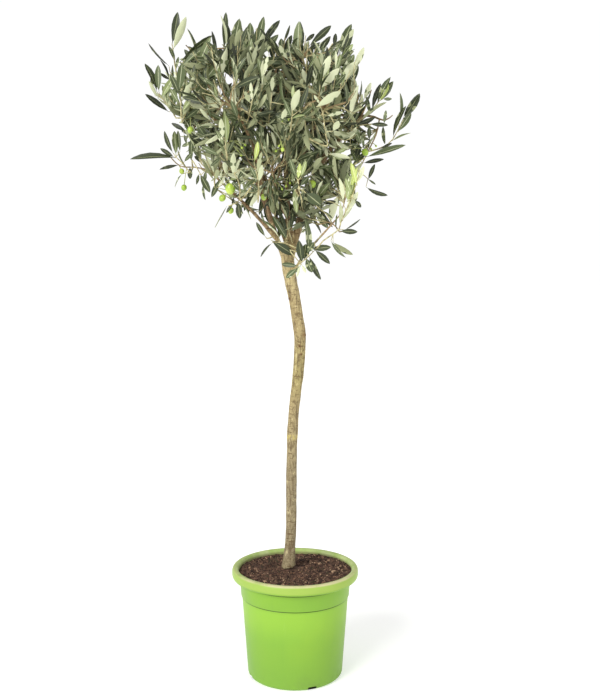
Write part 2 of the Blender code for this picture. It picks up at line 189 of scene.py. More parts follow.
def addCopy(bm, template, matrix):
    copy = template.copy()
    copy.transform(matrix)
    bm.from_mesh(copy)
    bpy.data.meshes.remove(copy)


def asTemplate(bm, name):
    mesh = bpy.data.meshes.new(name)
    bm.to_mesh(mesh)
    bm.free()
    return mesh


view = {  # metres, degrees, millimetres and pixels
    "place": (0.0113, -2.1, 0.940),
    "tilt": 84.853,
    "lens": 48.01,
    "sensor": 36,
    "frame": (600, 700),
}
light = {
    "horizon": 1.02,  # the sky's strength
    "overhead": 0.45,
    "fade": (0.30, 0.60),  # between these heights of the sky, as shares of straight up
    "sun": {"from": (-1.3, -1.7, 2.0), "strength": 2.4, "angle": 30},
    "fill": {"from": (2.4, -1.6, 1.6), "power": 18, "size": 1.8},
    "aim": (0, 0, 0.8),
    "floor": {"colour": (236, 236, 235), "roughness": 0.9, "glow": 0.40, "reach": 40},
}


def makeSky():
    world = bpy.data.worlds.new("studio")
    world.use_nodes = True
    tree = world.node_tree
    coords = tree.nodes.new("ShaderNodeTexCoord")
    parts = tree.nodes.new("ShaderNodeSeparateXYZ")
    fade = tree.nodes.new("ShaderNodeMapRange")
    fade.interpolation_type = "SMOOTHSTEP"
    ends = {"From Min": light["fade"][0], "From Max": light["fade"][1]}
    ends |= {"To Min": light["horizon"], "To Max": light["overhead"]}
    for socket, value in ends.items():
        fade.inputs[socket].default_value = value
    tree.links.new(coords.outputs["Generated"], parts.inputs[0])
    tree.links.new(parts.outputs["Z"], fade.inputs["Value"])
    background = tree.nodes["Background"]
    background.inputs["Color"].default_value = (1, 1, 1, 1)
    tree.links.new(fade.outputs["Result"], background.inputs["Strength"])
    bpy.context.scene.world = world


def addLamp(name, kind, settings):
    lamp = bpy.data.objects.new(name, bpy.data.lights.new(name, kind))
    bpy.context.scene.collection.objects.link(lamp)
    lamp.location = settings["from"]
    lamp.rotation_euler = (Vector(light["aim"]) - lamp.location).to_track_quat("-Z", "Y").to_euler()
    return lamp.data


def setUpStudio():
    scene = bpy.context.scene
    camera = bpy.data.objects.new("camera", bpy.data.cameras.new("camera"))
    scene.collection.objects.link(camera)
    camera.location = view["place"]
    camera.rotation_euler = (math.radians(view["tilt"]), 0, 0)
    camera.data.lens = view["lens"]
    camera.data.sensor_width = view["sensor"]
    scene.camera = camera
    scene.view_settings.view_transform = "Standard"
    makeSky()
    sun = addLamp("sun", "SUN", light["sun"])
    sun.energy = light["sun"]["strength"]
    sun.angle = math.radians(light["sun"]["angle"])
    fill = addLamp("fill", "AREA", light["fill"])
    fill.energy = light["fill"]["power"]
    fill.size = light["fill"]["size"]
    floor = light["floor"]
    glow = {"Emission_Color": (1, 1, 1, 1), "Emission_Strength": floor["glow"]}
    paint = Finish("floor", floor["colour"], floor["roughness"], **glow)
    bm = bmesh.new()
    bmesh.ops.create_grid(bm, x_segments=1, y_segments=1, size=floor["reach"])
    newPiece("floor", bm, [paint.material], None)
    print("studio: sky, two lamps and the floor")


pot = {
    "steps": 160,
    "lipHalfWidth": 0.0076,
    "lipHalfHeight": 0.0115,
    "lipFullness": 0.7,  # 1 rolls the lip to an ellipse, less to a squarer band
    "lipTurns": (190, -90, 26),  # from under the lip inside, over the top and down, in steps
    "collarRadius": 0.1275,
    "collarFoot": 0.1865,
    "collarStep": 0.0020,
    "collarDraft": 0.0033,
    "groove": 0.00072,
    "baseRadius": 0.1094,
    "baseRounding": 0.010,
    "baseSteps": 8,
    "footRing": {"inset": 0.024, "bevel": 0.003, "height": 0.0015},
    "wall": 0.0028,
    "wallRings": (0.04, 0.09, 0.14),  # heights, outside
    "innerRing": 0.10,
    "notchTurns": (-69, 21, 111, 201),
    "notchSize": (0.020, 0.044, 0.008),
    "notchRounding": 0.0015,
    "sill": 0.0006,
    "dustAbove": 0.2,  # height from which the wall is dusty inside
}
potTints = {  # heights between which a tint fades in, or in and out again, some of them painted light and shade, and a rubbed spot that is partly a painted highlight
    "shadedFoot": (0.02, 0.16),
    "litWall": (0.10, 0.17, 0.178, 0.188),
    "dirtyFoot": (0.0, 0.05),
    "paleLip": (0.2285, 0.236),
    "rubbedHighlitLip": (0.2462, 0.2498),
    "paintedShadeLines": ((0.2222, 0.2242), (0.1850, 0.1868)),  # painted shade: dark lines under the lip and under the collar
    "lineEdge": 0.0006,
    "dustLine": (0.2425, 0.2465),
    "rubbedHighlit": {"spot": (0.02, -0.14, 0.25), "reach": 0.20, "elsewhere": 0.3},
}


def potMaterial():
    f = Finish("limePlastic", (133, 170, 56), 0.42, 0.22)
    tints, rubbedHighlitSpot = potTints, potTints["rubbedHighlit"]
    broad = f.noise(4.5, detail=3)
    flow = f.noise(9, (5, 5, 0.8), detail=5, distortion=0.6)
    grain = f.noise(420, detail=2)
    dust = f.noise(26, detail=6, rough=0.7)
    scuffs = f.noise(70, (1, 1, 0.15), detail=6, rough=0.7)
    height = f.height()
    foot = (1 - f.between(height, *tints["dirtyFoot"])) * f.between(dust, 0.42, 0.75)
    front = f.near(rubbedHighlitSpot["spot"], rubbedHighlitSpot["reach"]) * (1 - rubbedHighlitSpot["elsewhere"]) + rubbedHighlitSpot["elsewhere"]
    # rubbed wear and a painted highlight on the top of the lip, strongest at the front
    rubbedHighlit = f.between(height, *tints["rubbedHighlitLip"]) * f.between(dust, 0.22, 0.55) * front
    shadeLines, edge = tints["paintedShadeLines"], tints["lineEdge"]
    layers = [
        (f.between(flow, 0.45, 0.75) * 0.35, (118, 160, 58)),
        # painted shade darkens the wall towards the foot, and painted light makes a paler band higher up
        ((1 - f.between(height, *tints["shadedFoot"])) * 0.7, (110, 151, 56)),
        (f.band(height, *tints["litWall"]) * 0.5, (146, 188, 62)),
        (foot * 0.5, (104, 128, 66)),
        (f.between(height, *tints["paleLip"]) * 0.55, (166, 184, 92)),
        # pale tan: partly rubbed wear, partly a painted highlight
        (rubbedHighlit * 0.85, (208, 198, 156)),
        # painted shade: a dark line under the lip and one under the collar step, where shadow falls
        *[(f.band(height, low - edge, low, high, high + edge) * 0.85, (40, 58, 24)) for low, high in shadeLines],
        (f.between(scuffs, 0.66, 0.76) * 0.25, (160, 186, 104)),
    ]
    colour = f.tinted(f.mix(f.between(broad, 0.35, 0.7), (122, 165, 56), (134, 173, 53)), layers)
    roughness = 0.34 + broad * 0.12 + foot * 0.3 + rubbedHighlit * 0.2
    return f.wear(colour, roughness, grain + flow * 3 + scuffs * 0.5, 0.0003, 0.25)


def dustyMaterial():
    f = Finish("dustyPlastic", (176, 188, 128), 0.7, 0.3)
    smears = f.noise(14, (1, 1, 0.5), detail=6, rough=0.7)
    colour = f.mix(f.between(smears, 0.35, 0.65), (152, 178, 92), (186, 196, 140))
    soiled = 1 - f.between(f.height(), *potTints["dustLine"])
    colour = f.mix(soiled * 0.6, colour, (120, 112, 76))
    return f.wear(colour, 0.6 + smears * 0.3, smears, 0.0003, 0.3)


def wallRadius(height):  # outside, under the collar
    share = (height - pot["baseRounding"]) / (pot["collarFoot"] - pot["baseRounding"])
    top = pot["collarRadius"] - pot["collarDraft"] - pot["collarStep"]
    return pot["baseRadius"] + share * (top - pot["baseRadius"])


def lipProfile(x, z):  # over the lip, from inside to outside, about its middle
    first, last, steps = pot["lipTurns"]
    lip = []
    for i in range(steps + 1):
        turn = math.radians(first + (last - first) * i / steps)
        across, up = math.cos(turn), math.sin(turn)
        wide = math.copysign(abs(across) ** pot["lipFullness"], across) * pot["lipHalfWidth"]
        high = math.copysign(abs(up) ** pot["lipFullness"], up) * pot["lipHalfHeight"]
        lip.append((x + wide, z + high))
    return lip


def collarProfile(under):  # from under the lip down to the groove at the collar's foot
    top, foot = pot["collarRadius"], pot["collarFoot"]
    draft = top - pot["collarDraft"]
    grooved = wallRadius(foot) - pot["groove"]
    return [
        (top + 0.0026, under + 0.0004),
        (top + 0.0004, under + 0.0016),
        (top - 0.0002, under - 0.0008),
        (draft + 0.0001, foot + 0.0010),
        (draft - 0.0004, foot),
        (grooved, foot + 0.0002),
        (grooved, foot - 0.0008),
        (wallRadius(foot), foot - 0.0018),
        (wallRadius(foot - 0.004), foot - 0.004),
    ]


def baseProfile():  # round the foot and up under the base
    radius, rounding, ring = pot["baseRadius"], pot["baseRounding"], pot["footRing"]
    turns = [math.radians(-90 * i / pot["baseSteps"]) for i in range(pot["baseSteps"] + 1)]
    arc = [(radius - rounding + rounding * math.cos(t), rounding + rounding * math.sin(t)) for t in turns]
    step = radius - ring["inset"]
    return arc + [(step, 0), (step - ring["bevel"], ring["height"]), (0.0, ring["height"])]


def potProfile(lipX, lipZ):  # from the floor's middle up inside, over the lip and down to the base
    under, foot, wall = lipZ - pot["lipHalfHeight"], pot["collarFoot"], pot["wall"]
    floor = wall + pot["footRing"]["height"]
    inside = [(0.0, floor), (pot["baseRadius"] - pot["baseRounding"], floor)]
    inside += [(wallRadius(z) - wall, z) for z in (pot["baseRounding"] + 0.002, pot["innerRing"], foot)]
    inside.append((pot["collarRadius"] - wall, under - 0.001))
    inside.append((lipX - pot["lipHalfWidth"] - 0.0003, under + 0.005))
    outside = collarProfile(under) + [(wallRadius(z), z) for z in reversed(pot["wallRings"])]
    return inside + lipProfile(lipX, lipZ) + outside + baseProfile()


def spinProfile(profile, steps):  # a closed round shape from points at x and z
    bm = bmesh.new()
    verts = [bm.verts.new((x, 0, z)) for x, z in profile]
    edges = [bm.edges.new(pair) for pair in zip(verts, verts[1:])]
    bmesh.ops.spin(
        bm, geom=verts + edges, cent=(0, 0, 0), axis=(0, 0, 1), angle=math.tau, steps=steps, use_merge=True
    )
    bmesh.ops.remove_doubles(bm, verts=bm.verts, dist=mergeWithin)
    bmesh.ops.recalc_face_normals(bm, faces=bm.faces)
    return bm


def notchCutter(turn, shadeFinish, name):
    bm = bmesh.new()
    bmesh.ops.create_cube(bm, size=1)
    bmesh.ops.scale(bm, vec=pot["notchSize"], verts=bm.verts)
    bmesh.ops.bevel(
        bm, geom=bm.edges, offset=pot["notchRounding"], segments=3, profile=0.5, affect="EDGES", material=-1
    )
    lift = pot["notchSize"][2] / 2 + pot["sill"]
    place = Matrix.Rotation(math.radians(turn), 4, "Z") @ Matrix.Translation((0, -pot["baseRadius"], lift))
    bmesh.ops.transform(bm, matrix=place, verts=bm.verts)
    return newPiece(name, bm, [shadeFinish], None, smooth=False)


def makePot():
    _, (rim, _, top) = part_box("pot")
    lipX = rim - pot["lipHalfWidth"]
    bm = spinProfile(potProfile(lipX, top - pot["lipHalfHeight"]), pot["steps"])
    for face in bm.faces:
        middle = face.calc_center_median()
        inside = face.normal.xy.dot(middle.xy) < 0 and middle.xy.length < lipX
        if inside and middle.z > pot["dustAbove"]:
            face.material_index = 1
    shell = newPiece("potShell", bm, [potMaterial(), dustyMaterial()], "green_plastic", ["pot"])
    # painted shade: a near-black finish on the notches' cut faces, so that the hollows look dark
    shadeFinish = Finish("notchPaintedShade", (28, 30, 20), 0.9).material
    cutters = [notchCutter(turn, shadeFinish, f"notch{i}") for i, turn in enumerate(pot["notchTurns"])]
    for cutter in cutters:
        cut = shell.modifiers.new("notch", "BOOLEAN")
        cut.operation = "DIFFERENCE"
        cut.material_mode = "TRANSFER"
        cut.object = cutter
    applyModifiers(shell)
    shell.data.set_sharp_from_angle(angle=math.radians(40))
    for cutter in cutters:
        bpy.data.objects.remove(cutter)
    print("pot:", len(shell.data.polygons), "faces")


soil = {
    "rings": 40,
    "spokes": 170,
    "radius": 0.1288,
    "foot": 0.2325,
    "footShare": 0.985,  # of the radius, down at the foot
    "top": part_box("soil")[1][2] - 0.0012,
    "edge": 0.128,  # where the drop is reached
    "edgeDrop": 0.0035,
    "tip": (0.6, -0.8, 0.0021),  # fuller at the front on the right, sunk at the back on the left
    "lumps": (28, 0.0016),  # how many to the metre, and how high
    "grit": (160, 0.0026),
    "chips": 620,
    "chipSize": (0.0018, 0.0040),
    "crumbs": 2300,
    "crumbSize": (0.0012, 0.0028),
    "scatter": 0.1255,
    "within": 0.1275,  # the furthest that a chip reaches
    "roundTrunk": 0.019,
    "templates": 12,
    "seed": 11,
    "browns": [(114, 87, 72), (76, 56, 47), (50, 37, 31), (138, 105, 83), (72, 62, 46), (184, 152, 122)],
}


def soilLevel(x, y):
    away = math.hypot(x, y) / soil["edge"]
    tipX, tipY, rise = soil["tip"]
    tip = rise * (x * tipX + y * tipY) / soil["edge"] * away
    (lumpScale, lump), (gritScale, grain) = soil["lumps"], soil["grit"]
    lumps = noise.noise(Vector((x * lumpScale, y * lumpScale, 3.1))) * lump
    grit = noise.turbulence(Vector((x * gritScale, y * gritScale, 0.7)), 3, False) * grain
    return soil["top"] - soil["edgeDrop"] * away**2 + tip + (lumps + grit) * min(1, 3 * away)


def soilMaterial():
    f = Finish("soilBed", soil["browns"][1], 0.95, 0.2)
    coarse = f.noise(70, detail=6, rough=0.65)
    fine = f.noise(420, detail=4, rough=0.7)
    layers = [
        (f.between(fine, 0.5, 0.7) * 0.6, soil["browns"][3]),
        # painted shade: near-black where the fine noise is low, in the crevices of the bump
        ((1 - f.between(fine, 0.3, 0.47)) * 0.8, (30, 22, 19)),
    ]
    colour = f.tinted(f.mix(f.between(coarse, 0.35, 0.62), soil["browns"][2], soil["browns"][0]), layers)
    return f.wear(colour, 0.85 + coarse * 0.1, coarse * 2 + fine, 0.003, 1.0)


def chipMaterial(name, brown):
    f = Finish(name, brown, 0.9, 0.2)
    grain = f.noise(300, detail=5, rough=0.7)
    darker, paler = [c * 0.7 for c in brown], [min(255, c * 1.15) for c in brown]
    return f.wear(f.mix(f.between(grain, 0.3, 0.7), darker, paler), None, grain, 0.001, 0.6)


def chipTemplates():  # flakes of bark, then crumbs
    rng = random.Random(soil["seed"])
    flakes, crumbs = [], []
    for i in range(soil["templates"]):
        bm = bmesh.new()
        bmesh.ops.create_cube(bm, size=1)
        bmesh.ops.subdivide_edges(bm, edges=bm.edges[:], cuts=1, use_grid_fill=True)
        for vert in bm.verts:
            vert.co *= 1 + rng.uniform(-0.28, 0.28)
        bmesh.ops.smooth_vert(
            bm, verts=bm.verts, factor=0.35, use_axis_x=True, use_axis_y=True, use_axis_z=True
        )
        bmesh.ops.scale(bm, vec=(rng.uniform(1.2, 2.8), 1, rng.uniform(0.25, 0.6)), verts=bm.verts)
        flakes.append(coloured(bm, i))
    for i in range(soil["templates"]):
        bm = bmesh.new()
        bmesh.ops.create_icosphere(bm, subdivisions=1, radius=0.6)
        for vert in bm.verts:
            vert.co *= 1 + rng.uniform(-0.3, 0.3)
        crumbs.append(coloured(bm, i))
    return flakes, crumbs


def coloured(bm, index):  # the last and palest brown goes to the first template only
    palest = len(soil["browns"]) - 1
    for face in bm.faces:
        face.material_index = index % palest if index else palest
    return asTemplate(bm, "chip")


def makeSoilBed():
    s = soil
    profile = [(s["radius"] * i / s["rings"], s["top"]) for i in range(s["rings"] + 1)]
    profile += [(s["radius"] * s["footShare"], s["foot"]), (0, s["foot"])]
    bm = spinProfile(profile, s["spokes"])
    for vert in bm.verts:
        if vert.co.z > s["foot"] + mergeWithin:
            vert.co.z = soilLevel(vert.co.x, vert.co.y)
    newPiece("soilBed", bm, [soilMaterial()], "potting_soil", ["soil"], sharpAngle=180)
    print("soil: bed")


def makeChips():
    s = soil
    rng = random.Random(s["seed"])
    flakes, crumbs = chipTemplates()
    trunkFoot = Vector(trunk["bends"][0][:2])
    laid = 0
    bm = bmesh.new()
    for i in range(s["chips"] + s["crumbs"]):
        flake = i < s["chips"]
        away, turn = s["scatter"] * math.sqrt(rng.random()), rng.uniform(0, math.tau)
        spot = Vector((away * math.cos(turn), away * math.sin(turn)))
        size = rng.uniform(*s["chipSize" if flake else "crumbSize"])
        if flake:
            size *= 1 + rng.random() ** 6  # a few are large
        if (spot - trunkFoot).length < s["roundTrunk"] + size or away + size * 1.4 > s["within"]:
            continue
        facing = Matrix.Rotation(rng.uniform(0, math.tau), 4, "Z")
        tilted = Matrix.Rotation(rng.gauss(0, 0.5), 4, "X")
        level = soilLevel(*spot) + size * rng.uniform(-0.1, 0.3)
        rolled = Matrix.Rotation(rng.gauss(0, 0.4), 4, "Y")
        place = Matrix.Translation((*spot, level)) @ (facing @ tilted) @ rolled
        addCopy(bm, rng.choice(flakes if flake else crumbs), place @ Matrix.Scale(size, 4))
        laid += 1
    materials = [chipMaterial(f"barkChip{i}", brown) for i, brown in enumerate(s["browns"])]
    newPiece("soilChips", bm, materials, "potting_soil", smooth=False)
    print("soil:", laid, "chips and crumbs")


trunk = {
    "foot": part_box("trunk")[0][2],
    "flare": 0.0045,
    "flareHeight": 0.05,
    "sides": 28,
    "pathStep": 0.032,
    "step": 0.006,
    "bends": [  # x, y, height and radius
        (-0.014, 0.004, 0.2468, 0.0130),
        (-0.014, 0.004, 0.2588, 0.0130),
        (-0.009, 0.001, 0.340, 0.0122),
        (-0.008, -0.002, 0.468, 0.0122),
        (-0.004, -0.003, 0.596, 0.0120),
        (0.008, 0.000, 0.705, 0.0124),
        (0.011, 0.003, 0.784, 0.0134),
        (-0.002, 0.004, 0.869, 0.0132),
        (-0.014, 0.002, 0.932, 0.0142),
        (-0.018, 0.000, 0.979, 0.0150),
    ],
}
crown = {
    "axisX": -0.033,
    "lean": 0.2,
    "foot": 0.985,
    "top": 1.492,
    "widest": 1.300,
    "radius": 0.292,
    "above": (2.6, 0.40),  # powers that round it off above its widest and below
    "below": (1.7, 0.62),
}
boughs = {  # turn, distance and height of the heart; parent, share of the way along it, radius
    "left": (176, 0.185, 1.300, "trunk", 0.955, 0.0064),
    "right": (8, 0.190, 1.275, "trunk", 0.965, 0.0090),
    "back": (78, 0.175, 1.265, "trunk", 0.935, 0.0066),
    "top_right": (325, 0.100, 1.400, "right", 0.26, 0.0060),
    "top_left": (205, 0.110, 1.405, "left", 0.40, 0.0050),
    "top_back": (85, 0.095, 1.400, "back", 0.42, 0.0050),
    "front_left": (238, 0.185, 1.275, "left", 0.22, 0.0050),
    "front_right": (304, 0.185, 1.275, "top_right", 0.20, 0.0050),
    "back_left": (130, 0.185, 1.275, "back", 0.24, 0.0050),
    "back_right": (40, 0.165, 1.200, "right", 0.30, 0.0050),
    "left_low": (190, 0.160, 1.150, "left", 0.16, 0.0046),
    "front_low": (262, 0.110, 1.150, "right", 0.14, 0.0046),
    "back_low": (115, 0.120, 1.140, "back", 0.13, 0.0044),
    "shoot_low": (325, 0.155, 1.045, "trunk", 0.925, 0.0036),
}
boughShape = {
    "sides": 16,
    "taper": 0.62,
    "rests": 0.055,  # how far short of the heart it ends
    "rise": 0.9,
    "follow": 0.35,  # how far it sets out along its parent
    "bends": (0.4, 0.35),  # shares of its length over which it leaves and arrives
    "pathStep": 0.028,
    "step": 0.006,
    "beadStep": 0.004,
}


def smoothPath(bends, step):  # a curve through bends, each a point and a radius
    ends = [bends[0]] + bends + [bends[-1]]
    points, radii = [], []
    for (a, _), (b, rb), (c, rc), (d, _) in zip(ends, ends[1:], ends[2:], ends[3:]):
        pieces = max(1, round((c - b).length / step))
        for point in interpolate_bezier(b, b + (c - a) / 6, c - (d - b) / 6, c, pieces + 1)[:-1]:
            points.append(point)
            radii.append(rb + (rc - rb) * (point - b).length / (c - b).length)
    return points + [bends[-1][0].copy()], radii + [bends[-1][1]]


def headings(points):
    ends = [points[0]] + points + [points[-1]]
    return [(after - before).normalized() for before, after in zip(ends, ends[2:])]


def placeOn(path, share):  # the point there and the way that the path goes on
    points = path[0]
    at = share * (len(points) - 1)
    low = min(int(at), len(points) - 2)
    return points[low].lerp(points[low + 1], at - low), headings(points)[low]


def tube(points, radii, sides):  # a round end drawn on from point to point
    bm = bmesh.new()
    ways = headings(points)
    facing = ways[0].to_track_quat("Z", "Y").to_matrix().to_4x4()
    start = Matrix.Translation(points[0]) @ facing
    bmesh.ops.create_circle(bm, cap_ends=True, segments=sides, radius=radii[0], matrix=start)
    bm.faces.ensure_lookup_table()
    cap = bm.faces[0]
    for i in range(1, len(points)):
        made = bmesh.ops.extrude_face_region(bm, geom=[cap])["geom"]
        if i > 1:
            bmesh.ops.delete(bm, geom=[cap], context="FACES_ONLY")
        cap = next(f for f in made if isinstance(f, bmesh.types.BMFace))
        turn = ways[i - 1].rotation_difference(ways[i]).to_matrix().to_4x4()
        grow = Matrix.Scale(radii[i] / radii[i - 1], 4)
        step = Matrix.Translation(points[i]) @ turn @ grow @ Matrix.Translation(-points[i - 1])
        bmesh.ops.transform(bm, matrix=step, verts=cap.verts)
    bmesh.ops.recalc_face_normals(bm, faces=bm.faces)
    return bm


def addTube(bm, points, radii, sides):
    mesh = asTemplate(tube(points, radii, sides), "limb")
    bm.from_mesh(mesh)
    bpy.data.meshes.remove(mesh)


def trunkPath(step):
    bends = [(Vector(bend[:3]), bend[3]) for bend in trunk["bends"]]
    points, radii = smoothPath(bends, step)
    for i, point in enumerate(points):
        rise = (point.z - trunk["foot"]) / trunk["flareHeight"]
        if rise < 1:
            radii[i] += trunk["flare"] * (1 - rise) ** 2
    return points, radii


def axisAt(height):
    return Vector((crown["axisX"] - crown["lean"] * max(0, height - crown["widest"]), 0, height))


def heartOf(name):
    turn, distance, height = boughs[name][:3]
    turn = math.radians(turn)
    return axisAt(height) + Vector((math.cos(turn), math.sin(turn), 0)) * distance


def boughPath(name, paths):
    parent, share, radius = boughs[name][3:]
    start, along = placeOn(paths[parent], share)
    heart = heartOf(name)
    arrive = Vector((heart.x - crown["axisX"], heart.y, 0)).normalized() + Vector((0, 0, boughShape["rise"]))
    end = heart - arrive.normalized() * boughShape["rests"]
    leave = (end - start).normalized() + along * boughShape["follow"]
    length = (end - start).length
    leaving, arriving = boughShape["bends"]
    points = interpolate_bezier(
        start,
        start + leave.normalized() * length * leaving,
        end - arrive.normalized() * length * arriving,
        end,
        max(6, round(length / boughShape["pathStep"])),
    )
    shares = [i / (len(points) - 1) for i in range(len(points))]
    return points, [radius * (1 - s * (1 - boughShape["taper"])) for s in shares]


def limbPaths():
    paths = {"trunk": trunkPath(trunk["pathStep"])}
    for name in boughs:
        paths[name] = boughPath(name, paths)
    return paths


def finer(path, step):  # the same limb with closer rings
    return smoothPath(list(zip(*path)), step)


paths = limbPaths()
hearts = {name: heartOf(name) for name in boughs}

knots = [  # where a shoot was cut off: height, side that it faces, size
    (0.783, (0.80, -0.60, 0.1), 0.0046),
    (0.866, (-0.85, -0.5, 0.1), 0.0036),
    (0.762, (-0.10, -1, 0), 0.0026),
    (0.744, (0.25, -1, 0), 0.0022),
    (0.556, (0.60, 0.80, 0), 0.0042),
    (0.428, (-0.50, 0.85, 0), 0.0036),
]
barkTints = {  # heights between which a tint fades in, or in and out again, and a grey spot
    "greyFoot": (0.40, 0.72),
    "green": (0.62, 0.69, 0.71, 0.80),
    "brownBoughs": (0.975, 1.05),
    "paleTop": (0.84, 0.90, 0.955, 0.985),
    "yellowRing": (0.545, 0.551, 0.556, 0.563),
    "greyBough": {"spot": (0.088, -0.060, 1.0), "reach": 0.085},
}
bark = {
    "voxel": 0.0015,
    "smoothing": 4,
    "lumps": ((45, 45, 22), 0.0012),  # how many to the metre, and how high
    "ridges": ((260, 260, 30), 0.0007),
    "calmAbove": 0.98,
    "calm": 0.6,
    "knotSunk": 0.2,  # how far a knot's middle sinks into the bark, of its size
    "knotRings": (2.2, 1.35),  # reach of the brown and the dark tint, of its size
}


def knotSpots():
    spots = []
    points, radii = trunkPath(boughShape["beadStep"])
    for z, side, size in knots:
        nearest = min(range(len(points)), key=lambda i: abs(points[i].z - z))
        out = Vector(side).normalized() * (radii[nearest] - size * bark["knotSunk"])
        spots.append((points[nearest] + out, size))
    return spots


def barkMaterial():
    f = Finish("oliveBark", (168, 150, 106), 0.82, 0.25)
    tints, grey = barkTints, barkTints["greyBough"]
    height = f.height()
    broad = f.noise(16, (1, 1, 0.4), detail=4)
    mottle = f.noise(120, (1.3, 1.3, 0.6), detail=6, rough=0.68, distortion=0.5)
    streaks = f.noise(60, (2.2, 2.2, 0.22), detail=6, rough=0.65, distortion=0.4)
    dashes = f.noise(70, (0.8, 0.8, 6), detail=3, rough=0.6)
    pores = f.noise(480, (1, 1, 1.6), detail=2)
    layers = [
        ((1 - f.between(height, *tints["greyFoot"])) * 0.8, (138, 126, 100)),
        (f.band(height, *tints["green"]) * 0.45, (152, 144, 86)),
        (f.between(height, *tints["brownBoughs"]) * 0.8, (148, 119, 90)),
        (f.band(height, *tints["paleTop"]) * 0.4, (202, 186, 138)),
        (f.near(grey["spot"], grey["reach"]) * 0.7, (172, 168, 130)),
        (f.between(mottle, 0.52, 0.60) * 0.75, (108, 92, 64)),
        ((1 - f.between(mottle, 0.36, 0.44)) * 0.7, (204, 190, 144)),
        (f.between(streaks, 0.54, 0.62) * 0.7, (98, 82, 58)),
        (f.between(dashes, 0.58, 0.64) * 0.8, (92, 70, 46)),
        (f.between(pores, 0.60, 0.70) * 0.5, (84, 68, 46)),
        (f.band(height, *tints["yellowRing"]) * f.between(mottle, 0.35, 0.6) * 0.8, (194, 178, 108)),
    ]
    brown, dark = bark["knotRings"]
    for spot, size in knotSpots():
        layers.append((f.near(spot, size * brown) * 0.5, (128, 102, 66)))
        layers.append((f.near(spot, size * dark) * 0.9, (84, 58, 36)))
    colour = f.tinted(f.mix(f.between(broad, 0.35, 0.68), (148, 131, 92), (174, 157, 112)), layers)
    relief = mottle * 1.6 + streaks * 1.2 + dashes * 0.8 + pores * 0.4
    return f.wear(colour, 0.70 + broad * 0.2, relief, 0.0016, 0.75)


def roughen(mesh):  # lumps and lengthwise ridges
    bm = bmesh.new()
    bm.from_mesh(mesh)
    bm.normal_update()
    for vert in bm.verts:
        rise = 0
        for scale, height in (bark["lumps"], bark["ridges"]):
            rise += noise.noise(vert.co * Vector(scale)) * height
        vert.co += vert.normal * rise * (1 if vert.co.z < bark["calmAbove"] else bark["calm"])
        vert.co.z = max(vert.co.z, trunk["foot"])
    bm.to_mesh(mesh)
    bm.free()


def makeBark():
    bm = bmesh.new()
    for name, path in paths.items():
        isTrunk = name == "trunk"
        fine = trunkPath(trunk["step"]) if isTrunk else finer(path, boughShape["step"])
        addTube(bm, *fine, trunk["sides"] if isTrunk else boughShape["sides"])
    for spot, size in knotSpots():
        lump = bmesh.new()
        bmesh.ops.create_uvsphere(lump, u_segments=12, v_segments=8, radius=size)
        knot = asTemplate(lump, "knot")
        addCopy(bm, knot, Matrix.Translation(spot))
        bpy.data.meshes.remove(knot)
    nodes = ["trunk"] + ["bough_" + name for name in boughs]
    piece = newPiece("barkedLimbs", bm, [barkMaterial()], "olive_bark", nodes)
    remesh = piece.modifiers.new("skin", "REMESH")
    remesh.mode = "VOXEL"
    remesh.voxel_size = bark["voxel"]
    soften = piece.modifiers.new("soften", "SMOOTH")
    soften.factor = 0.5
    soften.iterations = bark["smoothing"]
    applyModifiers(piece)
    roughen(piece.data)
    piece.data.shade_smooth()
    print("bark:", len(piece.data.polygons), "faces")


growth = {  # in each mass: leading shoots, then shoots as far apart as can be, then finer ones
    "shoots": 10,
    "fineShoots": 38,
    "spots": 300,
    "fineSpots": 900,
    "lobe": 0.15,
    "inset": 0.065,
    "shareInset": 0.030,
    "shareGap": 0.003,
    "fineInset": 0.040,
    "fineShareInset": 0.004,
    "stem": {"back": 0.004, "ahead": 0.008, "middle": 0.6, "taper": (1, 0.97, 0.8, 0.6), "sides": 8},
    "twig": {"foot": 0.0030, "tip": 0.0012, "bundle": "wood", "sides": 6},
    "fine": {"foot": 0.0017, "tip": 0.0008, "bundle": "shoots", "sides": 5},
    "step": 0.012,
    "thinner": 0.85,  # than the wood it springs from
    "straight": 1.7,  # nearer 1, a shoot springs where it can go straight on
    "shortest": 0.065,  # a shoot that would be shorter springs from further back
    "shortCost": 2.5,
    "bends": (0.3, 0.46),  # shares of its length over which it leaves and arrives
    "from": 0.12,  # how far below the heart the shoots point away from
    "flatter": 0.6,
    "bow": 1.6,  # how far a shoot's end turns up
    "fineBow": (1.4, 3.6),
    "droopingBow": (-0.4, 1.4),
    "drooping": 1.14,  # below this height some fine shoots hang
    "vigour": (0.85, 1.05),
    "clear": 0.001,  # between a shoot and the next limb
    "fruiting": (0.3, 0.45, 0.6, 0.75, 0.9),  # shares of a shoot where an olive may hang
    "overlap": 0.012,  # how far leaves may stand into the space of the next mass
}
leaders = [  # ends of leading shoots, each with its mass
    ("top_left", (-0.238, -0.01, 1.420)),
    ("left", (-0.270, 0.01, 1.350)),
    ("left", (-0.240, 0.00, 1.225)),
    ("left_low", (-0.275, -0.02, 1.180)),
    ("left_low", (-0.174, -0.036, 1.108)),
    ("right", (0.215, -0.01, 1.270)),
    ("right", (0.170, 0.02, 1.330)),
    ("right", (0.160, -0.03, 1.190)),
    ("right", (0.135, -0.01, 1.130)),
    ("top_right", (0.085, -0.03, 1.420)),
    ("top_back", (-0.040, 0.06, 1.430)),
    ("shoot_low", (0.115, -0.085, 1.110)),
    ("shoot_low", (0.102, -0.070, 1.014)),
    ("shoot_low", (0.045, -0.035, 1.040)),
]
